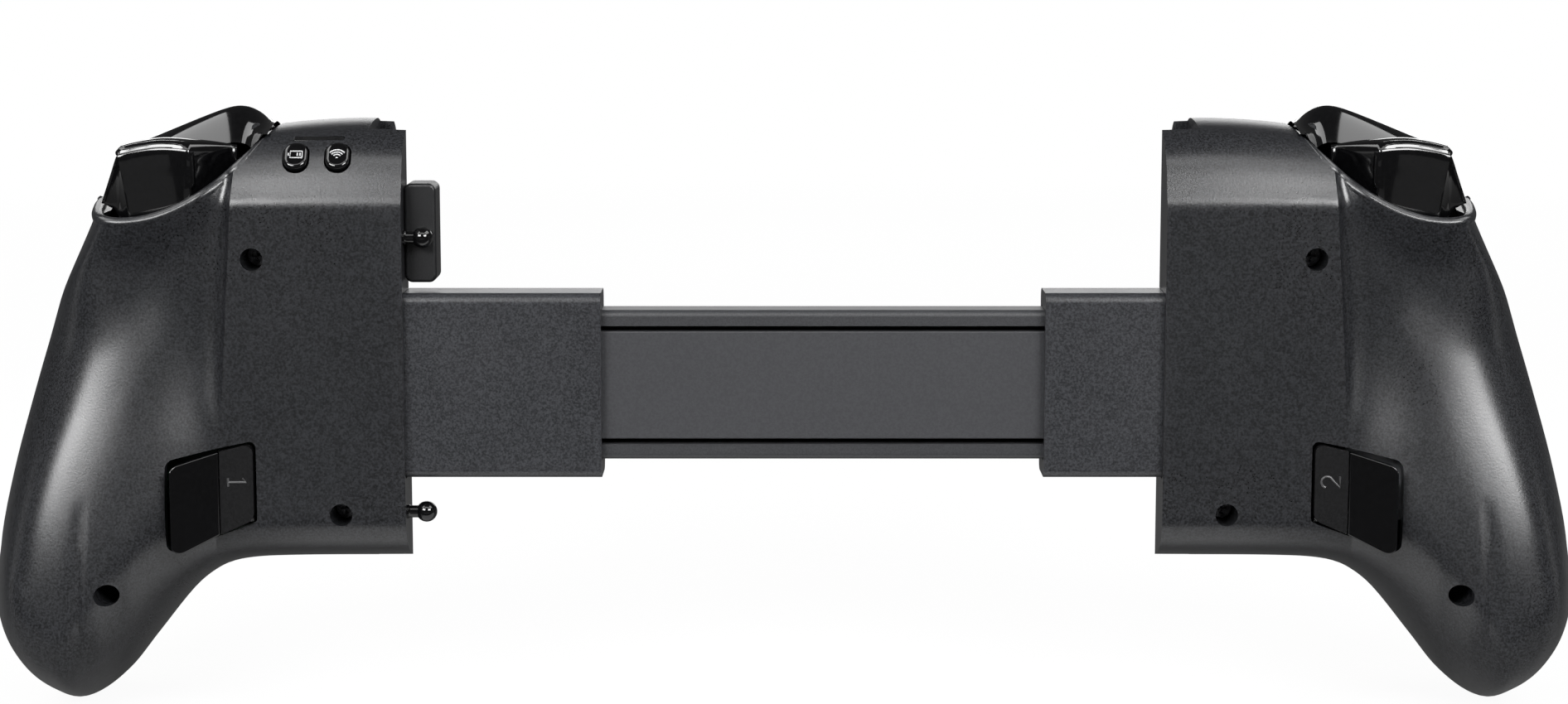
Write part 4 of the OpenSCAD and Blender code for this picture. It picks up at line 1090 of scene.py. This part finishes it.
for key in KEY_S:
    shoulder_key(key)
cell = [(-1.3, -0.7), (0.9, -0.7), (0.9, 0.7), (-1.3, 0.7), (-1.3, -0.7)]
printed_sign("battery_button", [cell, *[[(a, -0.3), (a, 0.3)] for a in (1.25, -0.9, -0.4)]])
printed_sign("radio_button", [arc(0.15, 0, 180, 5), *[arc(radius, 40, 140) for radius in (0.8, 1.3, 1.8)]])
window = shoulder_prism("status_window", LIGHT_S, LIGHT_SIZE, -3.4, -0.9, LIGHT_UP)
fitted(softened(window, 0.1, 2), light_window, "right_half", "light", "status_light")

# Rest block and ball posts: a matt black block fixed to the edge of the right jaw, and two polished
# posts with ball ends that are pressed into the same edge. The ball of the upper one bears on the block.
BLOCK_SIZE = (5.9, 18.4, 1.4)
BLOCK_Z = 28.2
POST_REACH = 3.6
POST_R = 1.3
BALL_R = 1.95
matt_black = finish_of("matt_black_plastic", (0.004, 0.0041, 0.0046), (0.008, 0.0082, 0.009),
                       0.4, 0.08, 2600.0, 0.015)
block_ring = [(-JAW_REACH - BLOCK_SIZE[0] / 2 + a, BLOCK_Z + b) for a, b in pill_ring(*BLOCK_SIZE)]
block = softened(prism("block", block_ring, "y", -8.5, -0.4, -1), 0.6, 4)
fitted(block, matt_black, "right_half", "gloss", "rest_block")


def ball_post(z):
    """Shaft with a small collar and a ball end, turned along s."""
    jaw = -JAW_REACH
    reach = jaw - POST_REACH
    neck = POST_R - 0.15
    profile = [(POST_R, jaw + 2.8), (POST_R, jaw - 0.4), (neck, jaw - 0.6), (neck, reach + 1.6)]
    turns = np.linspace(0.63, math.pi - 0.05, 18)
    profile += [(BALL_R * math.sin(t), reach + BALL_R * math.cos(t)) for t in turns]
    rings = [[(s, POST_Y + r * math.cos(a), z + r * math.sin(a)) for a in full_turn(36)] for r, s in profile]
    return loft("post", rings, -1)


posts = joined("ball_post_pair", [ball_post(z) for z in POST_Z])
fitted(posts, gloss_black, "right_half", "gloss", "ball_posts")

# Thumb sticks: caps of firm elastomer, moulded over a stem, with a dished top and a knurled rim.
# A dome under the cap closes the well, and the stem stands in a two-axis bearing on the board.
STICK_PIVOT = 6.0
STICK_R = 9.5
STICK_RISE = 7.0
STEM_R = 2.1
AXLE_R = 0.8
AXLE_REACH = 4.5
DOME_OUT = 12.4
DOME_IN = 11.3
DOME_EDGE = 2.9
KNURLS = 56
stick_rubber = finish_of("stick_elastomer", (0.014, 0.014, 0.0145), (0.024, 0.024, 0.025),
                         0.62, 0.1, 2000.0, 0.015)


def ring_turned(name, at, profile, side):
    """Hollow solid turned about a line along y, from a closed profile."""
    count, m = 64, len(profile)
    points, faces = [], []
    for i, a in enumerate(full_turn(count)):
        points += [(at[0] + r * math.cos(a), y, at[1] + r * math.sin(a)) for r, y in profile]
        here, there = i * m, (i + 1) % count * m
        for j in range(m):
            after = (j + 1) % m
            faces.append((here + j, here + after, there + after, there + j))
    return mesh_piece(name, points, faces, side)


def bearing(at, pivot, low, high, side):
    """Stem and cross axle of a control that tips both ways."""
    s, z = at
    axle = rod("axle", (s, pivot, z - AXLE_REACH), (s, pivot, z + AXLE_REACH), AXLE_R, side)
    return [peg("stem", at, low, high, STEM_R, side), axle]


knurl_sizes = {"Ring": 0.0094, "Count": KNURLS}
knurl, make, size = node_tree("stick_knurl", knurl_sizes)
circle = make.node("GeometryNodeMeshCircle", {"Vertices": size["Count"], "Radius": size["Ring"]})
ridge = make.node("GeometryNodeMeshCube",
                  {"Size": (0.0004, 0.0005, 0.0012), "Vertices X": 2, "Vertices Y": 2, "Vertices Z": 2})
place = make.node("GeometryNodeInputPosition")
facing = make.node("FunctionNodeAlignRotationToVector", {"Vector": place}, {"axis": "X"})
ridges = make.node("GeometryNodeInstanceOnPoints", {"Points": circle, "Instance": ridge, "Rotation": facing})
tree_end(make, ridges, stick_rubber)


def stick(side, node):
    at = STICK_AT[side]
    cap_y = FACE + STICK_RISE
    foot = [(4.6, FACE), (4.3, FACE + 1.6), (4.25, cap_y - 2), (5.4, cap_y - 1.3)]
    edge = [(-2, -0.4), (-0.7, -0.05), (-0.15, 0.4), (0, 0.9), (0, 1.9), (-0.2, 2.45),
            (-0.7, 2.85), (-1.4, 3), (-2.1, 2.8), (-2.45, 2.3)]
    dish = [(r, cap_y + 1.6 + r**2 / 90) for r in np.linspace(STICK_R - 2.6, 0.05, 12)]
    cap = turned(node + "_cap", at, [*foot, *[(STICK_R + out, cap_y + up) for out, up in edge], *dish], side)
    arc_out = np.linspace(0.0001, math.acos(DOME_EDGE / DOME_OUT), 20)
    arc_in = np.linspace(math.acos(DOME_EDGE / DOME_IN), 0.19, 20)
    skin = [(max(2.0, DOME_OUT * math.sin(t)), STICK_PIVOT + DOME_OUT * math.cos(t)) for t in arc_out]
    skin += [(DOME_IN * math.sin(t), STICK_PIVOT + DOME_IN * math.cos(t)) for t in arc_in]
    dome = ring_turned("dome", at, skin, side)
    rim = grown("rim", knurl, knurl_sizes, [(0, 0, 0)])
    x, y, z = to_metres([(at[0], cap_y + 1.4, at[1])], side)[0]
    for v in rim.data.vertices:
        v.co = (x + v.co[0], y + v.co[2], z + v.co[1])
    pivot = bearing(at, STICK_PIVOT, STICK_PIVOT - 1.8, cap_y, side)
    fitted(joined(node + "_whole", [cap, dome, *pivot, rim]), stick_rubber, node, "rubber", node, angle=45)


stick(1, "left_stick")
stick(-1, "right_stick")

# Direction pad: one satin black cross with a shallow dish, moulded with its stem and axle.
# It rocks on a two-axis bearing of its own on the left board.
DISH_R = 20.6
cross_ring = [(DPAD_AT[0] + a, DPAD_AT[1] + b) for a, b in rounded_corners(cross_corners(11.0, 3.7), 0.7, 5)]
pad = prism("dpad_cross", cross_ring, "y", 13.5, FACE + 2.4, 1)
dish = [(DISH_R * math.sin(t), FACE + 22 - DISH_R * math.cos(t)) for t in np.linspace(0.002, 1.4, 50)]
carved(pad, [turned("dish", DPAD_AT, [*dish, (dish[-1][0], 60)], 1)])
pad = softened(pad, 0.35, 3, 30)
fitted(joined("dpad_whole", [pad, *bearing(DPAD_AT, 11, 9.2, 14, 1)]), satin_black, "dpad", "gloss", "dpad")

# Face buttons and small keys: domed caps of polished black plastic in round openings of the face.
# A flange behind the face keeps each one in, and a rubber dome of the membrane lifts it.
FLANGE = 0.7
CAP_EDGE = 0.9


def round_button(node, at, radius, proud, side):
    inside = FACE - SHELL_WALL
    foot = [(radius - 0.6, 10.8), (radius - 0.6, inside - 1.6), (radius + FLANGE, inside - 1.6),
            (radius + FLANGE, inside - 0.3), (radius, inside - 0.3)]
    rim = [(radius - CAP_EDGE + CAP_EDGE * math.cos(t), FACE + proud - CAP_EDGE + CAP_EDGE * math.sin(t))
           for t in np.linspace(0, 1.35, 8)]
    crown = [(r, FACE + proud + 0.3 * (1 - (r / radius) ** 2)) for r in np.linspace(radius - 1.0, 0.05, 10)]
    cap = turned(node + "_cap", at, [*foot, *rim, *crown], side)
    fitted(cap, gloss_black, node, "gloss", node, angle=45)


for place, angle in (("outer", 0), ("top", 90), ("inner", 180), ("bottom", 270)):
    round_button("face_button_" + place, face_place(math.radians(angle)), FACE_R, 2, -1)
for node, at, side in (("view_button", SMALL_KEYS[0], 1), ("share_button", SMALL_KEYS[1], 1),
                       ("menu_button", SMALL_KEYS[0], -1), ("home_button", SMALL_KEYS[1], -1)):
    round_button(node, at, SMALL_R, 0.6, side)

# Inner pieces: boards, key membranes, battery, bearings, brackets, pins and the charging socket.
# They keep the shapes of the frame and get their finishes: laminate, silicone, foil, nylon and steel.
def dressed(nodes, *finish, **constants):
    """Pieces of the frame in a finish of their own."""
    material = finish_of(*finish, **constants)
    for node in nodes:
        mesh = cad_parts[node].data
        mesh.materials.clear()
        mesh.materials.append(material)


dressed(["left_board", "right_board"],
        "dark_board_laminate", (0.006, 0.022, 0.012), (0.012, 0.04, 0.02), 0.4, 0.1, 500.0, 0.01)
dressed(["left_membrane", "right_membrane"],
        "grey_key_silicone", (0.10, 0.10, 0.105), (0.14, 0.14, 0.145), 0.65, 0.1, 1500.0, 0.01)
dressed(["battery"],
        "battery_foil", (0.30, 0.31, 0.33), (0.42, 0.43, 0.45), 0.4, 0.15, 300.0, 0.02, Metallic=0.6)
dressed(["left_stick_rocker", "right_stick_rocker", "dpad_rocker"],
        "natural_nylon", (0.50, 0.49, 0.46), (0.58, 0.57, 0.54), 0.5, 0.1, 1500.0, 0.01)
dressed(["left_trigger_bracket", "right_trigger_bracket"],
        "dark_nylon", (0.02, 0.02, 0.021), (0.032, 0.032, 0.033), 0.5, 0.1, 1500.0, 0.01)
dressed(["left_stick_module", "right_stick_module", "dpad_module", "left_trigger_pin", "right_trigger_pin",
         "left_macro_pin", "right_macro_pin", "left_trigger_spring", "right_trigger_spring", "spring_arm",
         "usb_port"],
        "bright_steel", (0.48, 0.48, 0.49), (0.6, 0.6, 0.6), 0.28, 0.08, 1200.0, 0.004, Metallic=1.0)

# Studio: a pale floor under the handle tips, soft boxes above and beside the camera, and a white surround
# that only the camera sees at full strength. The camera stands behind the controller, a little above it,
# at the distance and lens of a product photograph.
IMAGE = (1892, 850)
PIXELS_PER_MM = 6.39
SENSOR = 36
DISTANCE = 0.580
ELEVATION = math.radians(8)
AIM = Vector((0, 0, 0.0048))

floor_height = cad_box[0][2]


def rays(tree):
    """Wires of a light path: what the camera sees, straight or through glass, and what is mirrored."""
    path = tree.nodes.new("ShaderNodeLightPath").outputs
    seen = Wire(tree, path["Is Camera Ray"]) + Wire(tree, path["Is Transmission Ray"])
    return seen, Wire(tree, path["Is Glossy Ray"])


def studio_surface(name):
    """Floor that is white to the camera and dim in reflections, except in a pool by the two pods that glows
    full white in reflections only: a painted glow, not a lamp, that puts highlights on the pods' lower
    edges.
    """
    material = bpy.data.materials.new(name)
    sheet = cleared_sheet(material)

    def spread(value, start, end, first, last):
        return sheet.node("ShaderNodeMapRange", {"Value": value, 1: start, 2: end, 3: first, 4: last})

    spot = sheet.node("ShaderNodeTexCoord", out="Object")
    far = sheet.node("ShaderNodeVectorMath", {0: spot}, {"operation": "LENGTH"}, out="Value")
    share = spread(far, 0.3, 1.2, 0.94, 1.0)
    along = sheet.math("ABSOLUTE", sheet.node("ShaderNodeSeparateXYZ", {0: spot}, out="X"), 0.0)
    behind = sheet.node("ShaderNodeSeparateXYZ", {0: spot}, out="Y")
    # Painted glow: this pool by the pods shines only in reflections and paints highlights on their lower
    # edges.
    mirror_glow_pool = spread(along, 0.09, 0.115, 1.0, 0.15) * spread(behind, -0.012, 0.008, 1.0, 0.0)
    seen, mirrored = rays(sheet.tree)
    matt = sheet.node("ShaderNodeBsdfDiffuse", {"Color": (0.9, 0.9, 0.9, 1)})
    lit = sheet.node("ShaderNodeEmission", {"Color": seen + mirrored * (0.1 + mirror_glow_pool * 0.9), "Strength": 1.0})
    both = sheet.node("ShaderNodeMixShader", {0: (seen + mirrored) * share, 1: matt, 2: lit})
    sheet.node("ShaderNodeOutputMaterial", {"Surface": both})
    return material


floor_corners = [(-3000, -60, 0), (3000, -60, 0), (3000, 6000, 0), (-3000, 6000, 0)]
floor = mesh_piece("floor", floor_corners, [(0, 1, 2, 3)])
floor.location.z = floor_height - 0.0002
floor.data.materials.append(studio_surface("pale_floor"))

world = bpy.data.worlds.new("surround")
bpy.context.scene.world = world
air = cleared_sheet(world)
seen, mirrored = rays(air.tree)
brightness = 0.06 + (seen + mirrored * 0.01) * 0.94
sky = air.node("ShaderNodeBackground", {"Color": (1, 1, 1, 1), "Strength": brightness})
air.node("ShaderNodeOutputWorld", {"Surface": sky})


def soft_box(name, place, aim, size, power):
    """Rectangular area lamp, turned to its aim."""
    lamp = bpy.data.lights.new(name, "AREA")
    lamp.shape = "RECTANGLE"
    lamp.size, lamp.size_y = size
    lamp.energy = power
    holder = bpy.data.objects.new(name, lamp)
    bpy.context.scene.collection.objects.link(holder)
    holder.location = place
    holder.rotation_euler = (Vector(aim) - Vector(place)).to_track_quat("-Z", "Y").to_euler()


SIDES = (("left", -1), ("right", 1))
for hand, way in SIDES:
    soft_box("front_" + hand + "_box", (way * 0.46, -0.70, 0.42), (0, 0, 0), (0.46, 0.28), 7.6)
soft_box("high_box", (0, -0.60, 0.80), (0, 0, 0), (0.80, 0.25), 1.8)
for hand, way in SIDES:
    soft_box(hand + "_top_box", (way * 0.72, -0.10, 0.89), (way * 0.12, 0, 0.05), (1.0, 0.5), 6)
soft_box("camera_card", (0, -0.95, -0.19), (0, 0, 0), (1.0, 0.2), 0.11)
soft_box("far_box", (0, 0.95, 0.22), (0, 0, 0), (0.9, 0.2), 1.4)
for hand, way in SIDES:
    soft_box(hand + "_box", (way * 1.0, 0.0, 0.02), (way * 0.1, 0, 0), (0.25, 0.4), 0.15)

camera = bpy.data.objects.new("camera", bpy.data.cameras.new("camera"))
bpy.context.scene.collection.objects.link(camera)
back = Vector((0, -math.cos(ELEVATION), math.sin(ELEVATION)))
camera.location = AIM + back * DISTANCE
camera.rotation_euler = (-back).to_track_quat("-Z", "Y").to_euler()
camera.data.sensor_width = SENSOR
camera.data.lens = SENSOR * PIXELS_PER_MM * DISTANCE * 1000 / IMAGE[0]
camera.data.clip_start = 0.01
camera.data.clip_end = 50
bpy.context.scene.camera = camera
bpy.context.scene.view_settings.view_transform = "Standard"
